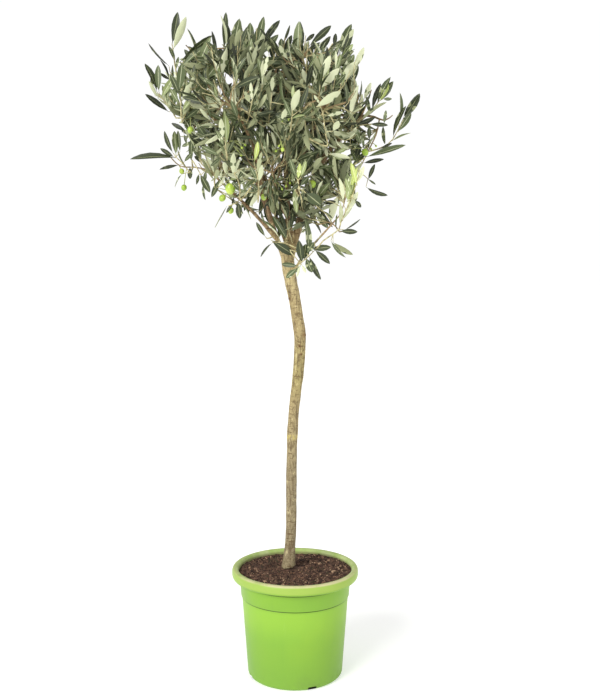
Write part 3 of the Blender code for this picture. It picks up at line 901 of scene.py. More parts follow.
# shoots in plain sight, in pixels of the view: each one's depths at foot and tip in mm, its stem,
# then root, tip, width and colour of its leaves, where a colour below 0 shows the underside
placedShoots = {
    "tallLeftSpray": ((-30, -30), [(178, 82), (175, 66), (173, 50), (172, 44)], [
        (172, 44, 180, 12, 7, 1), (173, 50, 187, 18, 8, -3), (175, 62, 171, 46, 3, 2),
        (176, 70, 178, 56, 3, 3),
    ]),
    "thinLeftArc": ((-20, -20), [(180, 92), (175, 80), (170, 72)], [
        (169, 66, 147, 46, 2, 0), (169, 79, 163, 57, 3, 0), (170, 80, 161, 74, 3, 0),
        (174, 80, 171, 64, 3, 1),
    ]),
    "leftEdge": ((-40, -40), [(176, 118), (172, 110), (165, 102), (160, 96)], [
        (157, 92, 149.5, 61, 4, 1), (155, 96, 149, 74, 3, -3), (159, 92, 157, 64, 6, 3),
        (161, 98, 174, 76, 6, 5), (169, 112, 145.5, 95.5, 6, 0), (167, 104, 168, 84, 5, 4),
        (172, 110, 176, 88, 6, 3), (171, 109, 164, 92, 5, -3), (158, 98, 150, 82, 4, -3),
    ]),
    "leftUpright": ((-120, -120), [(182, 122), (181, 112), (181, 100), (180, 92)], [
        (179, 92, 183, 64, 9, 3), (181, 103, 195, 76, 7, -3), (184, 106, 209, 82, 8, 3),
        (180, 96, 172, 74, 5, 2), (182, 112, 196, 92, 5, 5), (179, 104, 170, 88, 5, 4),
        (183, 116, 190, 96, 6, -2), (184, 120, 203, 104, 6, 2),
    ]),
    "leftArch": ((-80, -80), [(196, 88), (197, 78), (198, 66)], [
        (180, 62, 210, 33, 6, 2), (181, 68, 205, 43, 6, 3), (196, 70, 211, 38, 9, 4),
        (198, 60, 192, 28, 4, 2), (198, 68, 185, 47, 5, 1), (217, 57, 211, 32, 4, 0),
        (205, 80, 220, 60, 8, 4), (214, 59, 207, 44, 4, -3), (190, 76, 186, 56, 6, 1),
        (211, 60, 231, 50, 5, 0), (204, 82, 222, 74, 5, 1), (202, 78, 209, 62, 5, 3),
    ]),
    "topLeftPair": ((-40, -40), [(229, 74), (228, 60), (226, 50)], [
        (224, 50, 223.5, 12, 5, 2), (226, 48, 226, 16, 4, -3), (229, 50, 228, 22, 6, 1),
        (232, 54, 240, 19, 9, 3), (228, 62, 219, 48, 5, 1), (234, 60, 233, 36, 8, -1),
    ]),
    "topCrown": ((-50, -50), [(250, 74), (249, 62), (250, 50)], [
        (250, 48, 250, 19, 7, 3), (247, 56, 243, 32, 8, -2), (254, 50, 258, 27, 6, 2),
        (256, 50, 264, 18, 8, 3), (256, 54, 266, 33, 5, -3), (260, 48, 279, 17, 7, 0),
        (257, 58, 278, 33, 7, 2), (243, 44, 247, 27, 4, 2), (240, 64, 238, 42, 6, -1),
        (236, 50, 240, 30, 7, -2), (249, 57, 270, 38, 5, 2),
    ]),
    "topHollow": ((10, 10), [(284, 78), (284, 64), (283, 54)], [
        (283, 54, 281, 38, 6, 2), (284, 54, 292, 36, 7, 0), (283, 44, 289, 24, 3, 2),
        (274, 62, 271, 42, 7, 1), (289, 70, 286, 52, 6, 1),
    ]),
    "topRightTip": ((0, 0), [(300, 80), (299, 68), (299, 58)], [
        (298, 60, 297, 22, 8, 4), (302, 50, 302, 20, 5, 1), (300, 62, 309, 42, 6, -3),
        (296, 64, 291, 46, 6, 2),
    ]),
    "topRight": ((-20, -20), [(319, 84), (316, 70), (313, 56)], [
        (309, 46, 333, 23, 8, 1), (305, 42, 315, 33, 4, 0), (318, 52, 330, 38, 5, 1),
        (318, 62, 335, 44, 5, 3), (316, 72, 316, 40, 6, 3), (321, 80, 334, 55, 9, -3),
        (312, 66, 306, 48, 6, 2),
    ]),
    "rightOfTheTop": ((-50, -50), [(335, 80), (337, 68), (338, 58)], [
        (339, 54, 350, 21, 7, 2), (340, 54, 353, 30, 8, -3), (341, 56, 355, 32, 5, 1),
        (334, 48, 336, 31, 5, 0), (340, 60, 353, 44, 6, 5), (335, 66, 327, 52, 5, 1),
    ]),
    "upperRight": ((-80, -80), [(338, 94), (341, 84), (343, 74)], [
        (341, 82, 357, 62, 9, -4), (342, 74, 355, 53, 7, 4), (352, 70, 366, 50, 5, -4),
        (346, 82, 365, 63, 2, 1), (338, 84, 334, 64, 7, 3),
    ]),
    "rightShoulder": ((-30, -30), [(350, 128), (353, 116), (357, 104)], [
        (353, 106, 355, 80, 6, -3), (358, 100, 366, 80, 3, 2), (364, 100, 371, 83, 5, -4),
        (353, 124, 368, 105, 4, 0), (360, 108, 372, 96, 3, 1), (361, 120, 384, 100, 5, -2),
        (352, 118, 350, 94, 7, 4),
    ]),
    "farShoulder": ((-20, -20), [(362, 120), (371, 111), (379, 101)], [
        (372, 110, 379, 82, 6, 0), (377, 104, 387, 77, 5, 2), (380, 101, 388, 85, 5, 6),
        (380, 101, 393, 82, 7, 2), (383, 99, 392, 99, 3, 3), (370, 114, 366, 98, 4, 2),
    ]),
    "rightLevel": ((-30, -30), [(352, 130), (358, 126), (372, 124), (384, 125)], [
        (354, 126, 376, 119, 5, 0), (370, 124, 388, 126, 5, 1), (384, 124, 386, 110, 4, 3),
        (383, 125, 384, 144, 4, 2), (369, 126, 369, 138, 4, 2),
    ]),
    "farRightSpray": ((-20, -20), [
        (366, 152), (378, 149), (388, 144), (393, 139), (399, 128), (403, 120),
    ], [
        (393, 138, 398, 105, 3, 1), (399, 123, 405, 93, 4, 3), (403, 119, 415, 93, 4, 1),
        (404, 119, 420, 93, 8, 1), (398, 132, 413, 110, 6, 3), (392, 141, 409, 131, 3, 4),
        (380, 149, 392, 143, 3, 0),
    ]),
    "rightLow": ((-40, -40), [(352, 166), (360, 161), (366, 157)], [
        (366, 157, 406, 147, 6, 3), (363, 163, 384, 159, 5, 0), (356, 158, 360, 144, 5, 1),
        (368, 150, 372, 131, 2, 0), (366, 146, 378, 134, 2, -3), (364, 150, 362, 136, 3, 3),
    ]),
    "rightHanging": ((-40, -40), [(352, 168), (360, 172), (368, 179)], [
        (368, 180, 375, 164, 5, 1), (366, 187, 386, 199, 3, 1), (368, 179, 376, 184, 2, 2),
        (356, 170, 350, 184, 4, 2),
    ]),
    "leftLong": ((-40, -40), [(190, 172), (183, 164), (176, 157)], [
        (176, 158, 131, 152.5, 7, 1), (174, 157, 161, 149, 4, 1), (173, 153, 163, 133, 4, 1),
        (176, 155, 174, 129, 6, 4), (180, 152, 178, 130, 5, 2), (179, 165, 160, 169, 4, 0),
        (182, 174, 172, 186, 1.5, 3), (184, 162, 192, 153, 4, 3),
    ]),
    "leftDark": ((-30, -30), [(196, 138), (190, 133), (184, 130)], [
        (186, 131, 171, 123, 4, 0), (184, 134, 187, 144, 3, 2), (190, 136, 180, 128, 3, 1),
    ]),
    "leftHanging": ((-40, -40), [(192, 160), (197, 168), (201, 175)], [
        (200, 174, 210, 192, 6, 2), (203, 184, 204, 200, 3, 2), (199, 174, 197, 184, 3, 2),
        (190, 167, 190, 179, 5, 1), (206, 170, 204, 182, 4, 3),
    ]),
    "lowLeaf": ((-40, -40), [(226, 166), (222, 173), (221, 178)], [
        (220, 179, 212, 197, 5, 2), (224, 176, 230, 186, 3, 3),
    ]),
    "thinLowLeaf": ((-50, -50), [(244, 196), (236, 203), (228, 206)], [
        (227, 206, 213, 227, 2, 1), (232, 204, 226, 213, 3, 2), (238, 202, 240, 218, 6, 1),
    ]),
    "forkWhorl": ((-52, -52), [(290, 250), (295, 257), (300, 263)], [
        (298, 266, 281, 264, 6, 2), (297, 268, 285, 279, 5, 3), (302, 263, 299, 240, 9, 1),
        (304, 260, 306, 243, 8, 2), (300, 265, 297, 277, 3, -4), (302, 265, 306, 273, 3, -4),
        (301, 265, 293, 274, 3, 4),
    ]),
    "forkShoot": ((-60, -60), [(300, 263), (308, 257), (313, 252)], [
        (309, 254, 308, 219, 7, 3), (311, 249, 331, 247, 7, 2), (315, 250, 330, 264, 7, 1),
        (309, 256, 320, 281, 6, 1), (306, 258, 312, 272, 7, 2), (307, 253, 313, 243, 6, 2),
    ]),
    "paleShoot": ((-60, -170), [
        (316, 249), (323, 241), (333, 234), (339, 229), (341, 222), (346, 211), (352, 197), (357, 181),
        (360, 170),
    ], [
        (331, 241, 343, 260, 4, 3), (333, 242, 350, 257, 4, -1), (340, 231, 357, 232, 5, 1),
        (345, 230, 360, 218, 2, 1), (336, 229, 336, 214, 2, 2), (340, 226, 342, 202, 5, -3),
        (343, 220, 353, 199, 5, -3), (345, 214, 358, 192, 6, -4), (348, 208, 357, 174, 7, 6),
        (347, 202, 350, 172, 6, 5), (352, 196, 345, 178, 5, 5), (355, 200, 362, 208, 4, 1),
        (356, 184, 364, 166, 5, -4), (357, 186, 351, 162, 6, 6), (343, 202, 342, 178, 4, -4),
        (350, 190, 358, 168, 5, 6), (346, 192, 347, 172, 4, 4),
    ]),
    "limbLeaves": ((-45, -45), [(308, 204), (312, 208), (316, 210)], [
        (319, 206, 330, 229, 4, 1), (315, 210, 328, 228, 7, 3), (311, 218, 324, 232, 3, 1),
        (322, 203, 335, 202, 5, 0),
    ]),
    "palePair": ((-190, -235), [(227, 160), (226, 150), (225, 138)], [
        (223, 138, 221, 119, 6, -3), (226, 146, 228, 110, 7, 5), (226, 152, 216, 140, 3, 3),
        (227, 154, 234, 140, 4, 2), (224, 146, 217, 132, 4, 4),
    ]),
    "lowBright": ((-190, -235), [(241, 200), (240, 190), (238, 180), (234, 174)], [
        (233, 175, 234, 153, 6, -3), (234, 173, 231, 160, 4, 5), (235, 172, 239, 158, 3, -3),
        (240, 170, 257, 183, 2.5, -3), (237, 180, 245, 168, 4, 2), (240, 190, 232, 182, 4, 2),
    ]),
    "lowCentre": ((-190, -235), [(258, 202), (259, 190), (258, 180)], [
        (257, 173, 262, 152, 5, -2), (259, 182, 262, 165, 6, -3), (254, 162, 260, 142, 4, 6),
        (257, 180, 250, 166, 4, 3), (259, 190, 251, 184, 4, 2), (260, 190, 268, 180, 4, 1),
    ]),
    "centreLowTuft": ((-190, -230), [(302, 202), (299, 190), (298, 181)], [
        (298, 179, 300, 163, 5, 6), (301, 177, 306, 161, 5, 5), (296, 177, 290, 160, 6, 3),
        (299, 184, 292, 190, 4, 1), (300, 186, 309, 176, 5, 2),
    ]),
    "centreTuft": ((-190, -240), [(288, 140), (291, 127), (292, 116)], [
        (291, 113, 299, 90, 7, -3), (293, 101, 293, 85, 3.5, 5), (281, 122, 287, 108, 6, -3),
        (300, 110, 308, 88, 6, 1), (291, 119, 305, 112, 2.5, 5), (290, 122, 276, 116, 4, 2),
        (292, 118, 284, 100, 5, 3),
    ]),
    "greyTuft": ((-180, -225), [(247, 122), (250, 111), (252, 101)], [
        (252, 101, 251, 83, 4, -4), (253, 99, 258, 76, 3, -3), (250, 103, 245, 92, 6, -2),
        (249, 112, 241, 102, 5, 1), (250, 112, 258, 104, 4, 2),
    ]),
    "uprightGreys": ((-170, -215), [(268, 124), (270, 112), (271, 102)], [
        (270, 110, 267, 70, 5, -2), (272, 92, 273, 77, 4, -3), (285, 105, 276, 72, 4, 3),
        (270, 112, 262, 96, 5, 2), (271, 108, 280, 94, 4, 1),
    ]),
    "rightCentre": ((-180, -235), [(327, 146), (325, 132), (323, 114), (320, 106)], [
        (316, 107, 341, 92, 7, -3), (327, 116, 343, 112, 4, -3), (320, 104, 314, 95, 3, -3),
        (333, 131, 339, 121, 6, -3), (324, 120, 314, 112, 4, 2), (326, 134, 318, 126, 4, 1),
    ]),
    "upperRightTuft": ((-150, -200), [(319, 104), (319, 92), (320, 86)], [
        (321, 88, 339, 69, 7, -4), (321, 79, 330, 57, 8, -4), (316, 80, 310, 66, 3, -4),
        (319, 92, 312, 80, 5, 3), (320, 96, 330, 90, 4, 1),
    ]),
    "shoulderUpright": ((-60, -120), [(350, 136), (352, 124), (352, 114)], [
        (351, 120, 354, 85, 5, -4), (354, 127, 361, 143, 4, 3), (350, 124, 344, 112, 4, 1),
    ]),
    "greyLeaf": ((-150, -200), [(224, 160), (220, 156)], [
        (219, 155, 201, 146, 5, 3), (221, 157, 212, 166, 4, 2),
    ]),
    "roundLeaf": ((-150, -190), [(302, 190), (306, 193)], [
        (306, 193, 320, 205, 11, 2), (304, 192, 298, 204, 5, 1),
    ]),
    "forkDark": ((-50, -50), [(292, 246), (284, 243), (274, 242)], [
        (271, 240, 294, 255, 8, 1), (288, 241, 272, 215, 7, 2), (287, 238, 281, 207, 5, 1),
        (272, 243, 259, 255, 2, 1), (290, 230, 297, 204, 5, 1),
    ]),
}
sproutShape = {
    "off": 0.004,  # from the limb's middle line
    "rise": 0.35,
    "bends": (0.5, 0.25),
    "radii": [0.0018, 0.0015, 0.0012, 0.0008],
    "vigour": 0.95,
}
sprouts = [  # leafy shoots on the limbs round the fork: limb, share along it, way out, length
    ("left", 0.10, (-0.20, -0.80, 0.60), 0.045),
    ("left", 0.25, (0.15, -0.60, 0.80), 0.060),
    ("left", 0.20, (-0.60, -0.30, -0.40), 0.030),
    ("right", 0.12, (-0.25, -0.70, 0.70), 0.055),
    ("right", 0.22, (0.55, -0.50, 0.35), 0.055),
    ("right", 0.34, (0.50, -0.55, -0.20), 0.050),
    ("back", 0.20, (0.35, 0.80, 0.30), 0.050),
    ("back", 0.30, (-0.60, 0.50, 0.40), 0.050),
    ("right", 0.16, (0.30, 0.85, 0.20), 0.045),
]
crownOutline = [  # the dense part of the crown, in pixels of the view
    (180, 118), (163, 102), (151, 88), (158, 67), (172, 74), (188, 47), (203, 39), (218, 50), (232, 24),
    (254, 23), (277, 42), (297, 31), (312, 38), (339, 40), (351, 33), (357, 61), (355, 83), (365, 98),
    (359, 116), (363, 133), (361, 161), (350, 197), (342, 226), (334, 231), (318, 214), (303, 237),
    (292, 250), (273, 239), (252, 219), (235, 210), (218, 188), (188, 172), (172, 156), (181, 134),
]
skyGaps = [  # where the sky shows through: middle and radius, in pixels of the view
    (228, 77, 7), (220, 91, 4), (267, 50, 4), (288, 60, 6), (305, 64, 5), (346, 112, 5), (282, 151, 6),
    (274, 167, 6), (286, 173, 5), (325, 160, 4), (346, 143, 5), (346, 154, 5), (335, 188, 6),
    (331, 199, 6), (316, 202, 5), (297, 190, 4), (296, 205, 4), (286, 219, 5), (256, 204, 5),
    (240, 201, 4), (215, 167, 4), (262, 210, 4),
]
leaves = {
    "blade": 0.064,
    "halfWidth": (0.095, 0.135),  # of the blade
    "rib": 0.075,  # half of the midrib's width, of the blade's half width
    "thickness": 0.0007,
    "rows": (0, 0.07, 0.20, 0.38, 0.58, 0.78, 0.92, 1),
    "petiole": 0.06,  # share of the length before the blade widens
    "narrowest": 0.08,
    "fullness": (1.12, 0.72),  # moves the widest part outwards, and rounds the sides
    "arch": (-0.12, 0.28),
    "fold": (0.12, 0.50),
    "wave": (0, 0.15),
    "waves": 9,
    "twist": (-0.6, 0.6),
    "shapes": 8,
    "size": (0.58, 1.10),
    "youngSize": 0.30,  # how much smaller the tip's leaves are
    "internode": 0.0165,
    "pairs": 7,
    "shares": (0.99, 0.04),  # of the shoot's length, where the first pair stands and the last one may
    "leafy": 0.9,  # share of a shoot with leaves
    "spread": 29,
    "spreads": (0.5, 0.22, 4),  # share of it at the tip, more at each pair, until the fourth
    "sway": 9,
    "across": 0.35,
    "tries": 5,
    "wider": 7,  # degrees further out at each try
    "roll": 0.4,
    "rise": 0.45,  # how far leaves turn to the sky
    "up": (0.75, 0.30, 0.30),  # to the shoot's tip, to the sky and anywhere
    "bare": 0.036,  # about the heart of a mass
    "masses": 4,  # in one piece
    "overhang": 0.010,
    "offLimbs": (0.006, 0.002),  # the middle's and the tip's distance from a limb's bark
    "clear": 4,  # pixels of the view kept free about the middle of a placed leaf
    "clearDepth": 0.02,
    "sparse": {"middle": (285, 221), "radius": 27, "leftOut": 0.55},  # above the fork, in pixels of the view
    "paler": 2.7,  # colours from the crown's axis to its surface, darker inside partly as painted shade
    "outermost": 1.1,
    "tone": (0.6, 1.3),
    "lowTone": 0.4,
    "youngTone": 0.6,
    "toneSpread": 0.6,
    "colours": [  # the upper side and the underside, from the crown's inside to its young tips, the inner ones darker partly as older leaves and partly as painted shade
        ((42, 48, 31), (106, 111, 82)),
        ((55, 63, 40), (138, 143, 106)),
        ((70, 80, 50), (164, 169, 130)),
        ((88, 99, 64), (188, 193, 157)),
        ((112, 123, 82), (209, 213, 178)),
        ((146, 158, 104), (223, 227, 192)),
        ((180, 194, 108), (230, 236, 188)),
    ],
}


def reachAt(height):  # the crown's radius there
    above = height >= crown["widest"]
    far = crown["top" if above else "foot"]
    rise = (height - crown["widest"]) / (far - crown["widest"])
    power, root = crown["above" if above else "below"]
    return crown["radius"] * (1 - rise**power) ** root if rise < 1 else 0


def inCrown(point, inset=0.0):
    lifted = point.z + inset * (1 if point.z > crown["widest"] else -1)
    return (point - axisAt(point.z)).length < reachAt(lifted) - inset


def inShare(point, name, inset=0.0):  # nearer to this mass's heart than to any other
    own = hearts[name]
    for other, heart in hearts.items():
        if other != name:
            apart = heart - own
            if (point - (own + heart) / 2).dot(apart.normalized()) > -growth["shareGap"] / 2 - inset:
                return False
    return True


eye = Vector(view["place"])
gaze = Matrix.Rotation(math.radians(view["tilt"]), 3, "X")
focal = view["lens"] / view["sensor"] * max(view["frame"])  # in pixels


def pixelOf(point):
    seen = (point - eye) @ gaze
    wide, tall = view["frame"]
    return wide / 2 - focal * seen.x / seen.z, tall / 2 + focal * seen.y / seen.z


def placeAt(u, v, depth):  # where a pixel's line of sight reaches this depth
    wide, tall = view["frame"]
    way = gaze @ Vector((u - wide / 2, tall / 2 - v, -focal))
    return eye + way * ((depth - eye.y) / way.y)


def inOutline(point):
    u, v = pixelOf(point)
    inside = False
    for (au, av), (bu, bv) in zip(crownOutline, crownOutline[1:] + crownOutline[:1]):
        if (av > v) != (bv > v) and u < au + (v - av) * (bu - au) / (bv - av):
            inside = not inside
    return inside


def bladesOf(shoot):  # the shoot's points, then root, tip, width and colour of each of its leaves
    (foot, end), stem, blades = shoot
    depths = [(foot + (end - foot) * i / (len(stem) - 1)) * 0.001 for i in range(len(stem))]
    points = [placeAt(u, v, depth) for (u, v), depth in zip(stem, depths)]
    placed = []
    for u, v, tipU, tipV, wide, tone in blades:
        nearest = min(range(len(stem)), key=lambda i: math.dist(stem[i], (u, v)))
        depth = depths[nearest]
        root, tip = placeAt(u, v, depth), placeAt(tipU, tipV, depth)
        placed.append((root, tip, wide * (depth - eye.y) / focal, tone))
    return points, placed


def treeOf(points):  # to find the nearest of them
    tree = KDTree(len(points))
    for i, point in enumerate(points):
        tree.insert(point, i)
    tree.balance()
    return tree


def viewsOfBlades():  # where the middles of the placed leaves are seen, and how deep each is
    blades = [blade for shoot in placedShoots.values() for blade in bladesOf(shoot)[1]]
    middles = [root.lerp(tip, 0.5) for root, tip, _, _ in blades]
    return treeOf([(*pixelOf(middle), 0) for middle in middles]), [middle.y for middle in middles]


bladeViews = viewsOfBlades()


def hidesBlade(point):  # a leaf that would stand in front of a placed one
    tree, depths = bladeViews
    _, index, apart = tree.find((*pixelOf(point), 0))
    return apart < leaves["clear"] and point.y < depths[index] + leaves["clearDepth"]


def inGap(point):
    return any(math.dist(pixelOf(point), middle) < radius for *middle, radius in skyGaps)


def inSparse(point):
    return math.dist(pixelOf(point), leaves["sparse"]["middle"]) < leaves["sparse"]["radius"]


def stringLimbs():  # points along the limbs, close together, and the limb's radius at each
    beads = []
    for points, radii in paths.values():
        for a, b, radius in zip(points, points[1:], radii):
            count = math.ceil((b - a).length / boughShape["beadStep"]) + 1
            beads += [(a.lerp(b, i / count), radius) for i in range(count + 1)]
    return treeOf([point for point, _ in beads]), [radius for _, radius in beads]


strung = stringLimbs()
thickest = max(strung[1])


def offLimbs(point, room):  # this far from the bark of every limb
    tree, radii = strung
    near = tree.find_range(point, room + thickest)
    return all(distance > radii[index] + room for _, index, distance in near)


def spotsIn(name, rng, count, inset, shareInset):
    heart = hearts[name]
    pool = []
    for _ in range(count):
        way = Vector((rng.gauss(0, 1), rng.gauss(0, 1), rng.gauss(0, 1))).normalized()
        spot = heart + way * growth["lobe"] * rng.random() ** 0.5
        if inCrown(spot, inset) and inShare(spot, name, shareInset) and inOutline(spot):
            pool.append(spot)
    return pool


def spread(tips, pool, count, heart, rng):  # adds the spots that are furthest from the ones taken
    while len(tips) < count and pool:
        taken = tips + [heart]
        tips.append(max(pool, key=lambda spot: min((spot - t).length for t in taken) * rng.uniform(0.8, 1)))
    return tips


def twigTo(tip, wood, arrive, kind):
    def cost(place):
        point, way, _ = place
        length = (tip - point).length
        short = max(0, growth["shortest"] - length)
        ahead = (tip - point).normalized().dot(way)
        return length * (growth["straight"] - ahead) + short * growth["shortCost"]

    start, way, thick = min(wood, key=cost)
    length = (tip - start).length
    leaving, arriving = growth["bends"]
    leave = way + (tip - start).normalized()
    last = tip - arrive.normalized() * length * arriving
    points = interpolate_bezier(start, start + leave.normalized() * length * leaving, last, tip, 4)
    thick = min(kind["foot"], thick * growth["thinner"])
    shares = [i / (len(points) - 1) for i in range(len(points))]
    return points, [thick + (kind["tip"] - thick) * s for s in shares]


def outward(tip, heart, bow):
    way = (tip - Vector((crown["axisX"], 0, heart.z - growth["from"]))).normalized()
    return Vector((way.x, way.y * growth["flatter"], way.z + bow))


def leafStrip(rows):  # half widths of 1: a flat upper side with a midrib, and a keel 1 below
    rib = leaves["rib"]
    bm = bmesh.new()
    ring = [bm.verts.new(place) for place in ((-1, 0, 0), (-rib, 0, 0), (rib, 0, 0), (1, 0, 0), (0, 0, -1))]
    edges = [bm.edges.new(pair) for pair in zip(ring, ring[1:] + ring[:1])]
    bmesh.ops.contextual_create(bm, geom=edges)
    for before, after in zip(rows, rows[1:]):
        made = bmesh.ops.extrude_edge_only(bm, edges=edges)["geom"]
        ring = [v for v in made if isinstance(v, bmesh.types.BMVert)]
        edges = [e for e in made if isinstance(e, bmesh.types.BMEdge) and all(v in ring for v in e.verts)]
        bmesh.ops.translate(bm, vec=(0, after - before, 0), verts=ring)
    return bm, ring


def leafShape(index, rng):  # pointed at both ends, folded, arched and a little twisted
    blade = leaves["blade"]
    halfWidth = blade * rng.uniform(*leaves["halfWidth"])
    arch, fold, wave, twist = [rng.uniform(*leaves[way]) for way in ("arch", "fold", "wave", "twist")]
    bm, end = leafStrip(leaves["rows"])
    for face in bm.faces:  # 0 above, 1 below and on the midrib
        above = all(v.co.z == 0 for v in face.verts) and any(abs(v.co.x) == 1 for v in face.verts)
        face.material_index = 0 if above else 1
        face.smooth = True
    for edge in bm.edges:
        edge.smooth = not all(abs(v.co.x) == 1 for v in edge.verts)
    outwards, roundness = leaves["fullness"]
    for vert in bm.verts:
        side, share, under = vert.co
        opened = max(0.0, (share - leaves["petiole"]) / (1 - leaves["petiole"]))
        half = halfWidth * max(leaves["narrowest"], math.sin(math.pi * opened**outwards) ** roundness)
        waved = wave * half * math.sin(share * leaves["waves"] + index) * side
        thick = min(leaves["thickness"], half * 0.6)
        vert.co = Vector((side * half, share * blade, abs(side) * half * fold + waved + under * thick))
        vert.co.rotate(Matrix.Rotation(twist * share, 3, "Y"))
        vert.co.z -= arch * blade * share**2
    middle = sum((v.co for v in end), Vector()) / len(end)
    bmesh.ops.pointmerge(bm, verts=end, merge_co=middle)
    bmesh.ops.recalc_face_normals(bm, faces=bm.faces)
    return bm


def leafTemplates():  # each shape in each pair of colours
    templates = []
    for index in range(leaves["shapes"]):
        bm = leafShape(index, random.Random(index))
        sides = [face.material_index for face in bm.faces]
        row = []
        for pair in range(len(leaves["colours"])):
            for face, side in zip(bm.faces, sides):
                face.material_index = pair * 2 + side
            row.append(asTemplate(bm.copy(), "leaf"))
        bm.free()
        templates.append(row)
    return templates


def leafMaterials():
    materials = []
    for i, (upper, under) in enumerate(leaves["colours"]):
        top = Finish(f"leafTop{i}", upper, 0.44, 0.32)
        below = Finish(f"leafUnder{i}", under, 0.75, 0.2)
        materials += [top.material, below.material]
    return materials


def growShoot(tip, wood, arrive, kind, bundles):  # nothing where it would run through a limb
    path = twigTo(tip, wood, arrive, kind)
    if all(offLimbs(point, radius + growth["clear"]) for point, radius in list(zip(*path))[1:]):
        path = finer(path, growth["step"])
        addTube(bundles[kind["bundle"]], *path, kind["sides"])
        return path
    return None


def growMass(name, templates, bundles, twigSpots):
    g, stem = growth, growth["stem"]
    rng = random.Random("olive " + name)
    heart = hearts[name]
    points, radii = paths[name]
    start, way = points[-1], headings(points)[-1]
    leading = [Vector(end) for mass, end in leaders if mass == name]
    pool = spotsIn(name, rng, g["spots"], g["inset"], g["shareInset"])
    tips = spread(list(leading), pool, g["shoots"], heart, rng)
    middle = start.lerp(heart, stem["middle"])
    bends = [start - way * stem["back"], start + way * stem["ahead"], middle, heart]
    stemRadii = [radii[-1] * share for share in stem["taper"]]
    addTube(bundles["wood"], bends, stemRadii, stem["sides"])
    wood = list(zip(bends, headings(bends), stemRadii))[2:]
    shoots = []
    for tip in tips:
        path = growShoot(tip, wood, outward(tip, heart, g["bow"]), g["twig"], bundles)
        if path:
            shoots.append((path, tip in leading, 1.0))
            wood += list(zip(path[0], headings(path[0]), path[1]))[2:]
    pool = spotsIn(name, rng, g["fineSpots"], g["fineInset"], g["fineShareInset"])
    for tip in spread([], pool, g["fineShoots"], heart, rng):
        bow = rng.uniform(*g["fineBow" if tip.z > g["drooping"] else "droopingBow"])
        vigour = rng.uniform(*g["vigour"])
        path = growShoot(tip, wood, outward(tip, heart, bow), g["fine"], bundles)
        if path:
            shoots.append((path, False, vigour))
    return dressShoots(name, shoots, templates, bundles, twigSpots, rng)


def dressShoots(name, shoots, templates, bundles, twigSpots, rng):
    count = 0
    for path, lead, vigour in shoots:
        count += leafShoot(name, path, lead, vigour, templates, bundles, rng)
        twigSpots += [placeOn(path, share)[0] for share in growth["fruiting"]]
    return len(shoots), count


def leafFits(name, lead, root, middle, tip):  # in the mass's space, off the limbs and clear of what shows
    inside = lead or inCrown(tip, -leaves["overhang"]) and inShare(tip, name, -growth["overlap"])
    shows = inOutline(tip) and tip.y > cadBox[0].y and not inGap(tip) and not inGap(middle)
    if not inside or not shows:
        return False
    if any(hidesBlade(place) for place in (root.lerp(middle, 0.5), middle, tip)):
        return False
    middleRoom, tipRoom = leaves["offLimbs"]
    return offLimbs(middle, middleRoom) and offLimbs(tip, tipRoom)


def toneOf(end, rng):  # darker inside, partly as older leaves and partly as painted shade, and a little paler again low down
    outer = (end - axisAt(end.z)).length / max(0.05, reachAt(min(end.z, crown["top"] - 0.02)))
    low = leaves["lowTone"] if end.z < growth["drooping"] else 0
    return min(leaves["outermost"], outer) * leaves["paler"] + rng.gauss(*leaves["tone"]) + low


def leafShoot(name, path, lead, vigour, templates, bundles, rng):  # pairs of leaves, each across the last
    points = path[0]
    length = sum((b - a).length for a, b in zip(points, points[1:]))
    pairs = min(leaves["pairs"], max(2, int(length * leaves["leafy"] / leaves["internode"])))
    end, way = placeOn(path, 1)
    side = Matrix.Rotation(rng.uniform(0, math.pi), 3, way) @ way.orthogonal().normalized()
    tone = toneOf(end, rng)
    rise = Vector((0, 0, leaves["rise"] if end.z > growth["drooping"] else 0))
    firstShare, lastShare = leaves["shares"]
    made = 0
    for pair in range(pairs):
        point, along = placeOn(path, max(lastShare, firstShare - pair * leaves["internode"] / length))
        if name and (point - hearts[name]).length < leaves["bare"]:
            continue
        if name and inSparse(point) and rng.random() < leaves["sparse"]["leftOut"]:
            continue
        turn = math.pi / 2 * pair + rng.uniform(-leaves["across"], leaves["across"])
        across = Matrix.Rotation(turn, 3, along) @ side
        young = max(0, 1 - pair / 2)
        for half in (across, -across):
            for attempt in range(leaves["tries"]):
                out = leafWay(pair, attempt, along, half, rise, rng)
                size = vigour * rng.uniform(*leaves["size"]) * (1 - leaves["youngSize"] * young)
                tip = point + out * leaves["blade"] * size
                middle = point + out * leaves["blade"] * size / 2
                if leafFits(name, lead, point, middle, tip):
                    shade = tone + young * leaves["youngTone"] + rng.gauss(0, leaves["toneSpread"])
                    colour = min(len(leaves["colours"]) - 1, max(0, int(shade)))
                    addLeaf(bundles["leaves"], templates, colour, point, out, along, size, rng)
                    made += 1
                    break
    return made


def leafWay(pair, attempt, along, across, rise, rng):
    tipShare, more, last = leaves["spreads"]
    opened = leaves["spread"] * (tipShare + more * min(pair, last))
    opened += rng.uniform(-leaves["sway"], leaves["sway"])
    angle = math.radians(opened + attempt * leaves["wider"])
    roll = Matrix.Rotation(rng.uniform(-leaves["roll"], leaves["roll"]) * attempt, 3, along)
    out = along * math.cos(angle) + roll @ across * math.sin(angle)
    return (out + rise).normalized()


def addLeaf(bm, templates, colour, root, out, along, size, rng):
    # the upper side faces the shoot's tip and, as far as that leaves free, the sky
    toTip, toSky, anywhere = leaves["up"]
    up = along * toTip + Vector((0, 0, toSky)) + Vector([rng.gauss(0, anywhere) for _ in range(3)])
    up = (up - out * up.dot(out)).normalized()
    turn = Matrix((out.cross(up), out, up)).transposed().to_4x4()
    mesh = rng.choice(templates)[colour]
    addCopy(bm, mesh, Matrix.Translation(root) @ turn @ Matrix.Scale(size, 4))


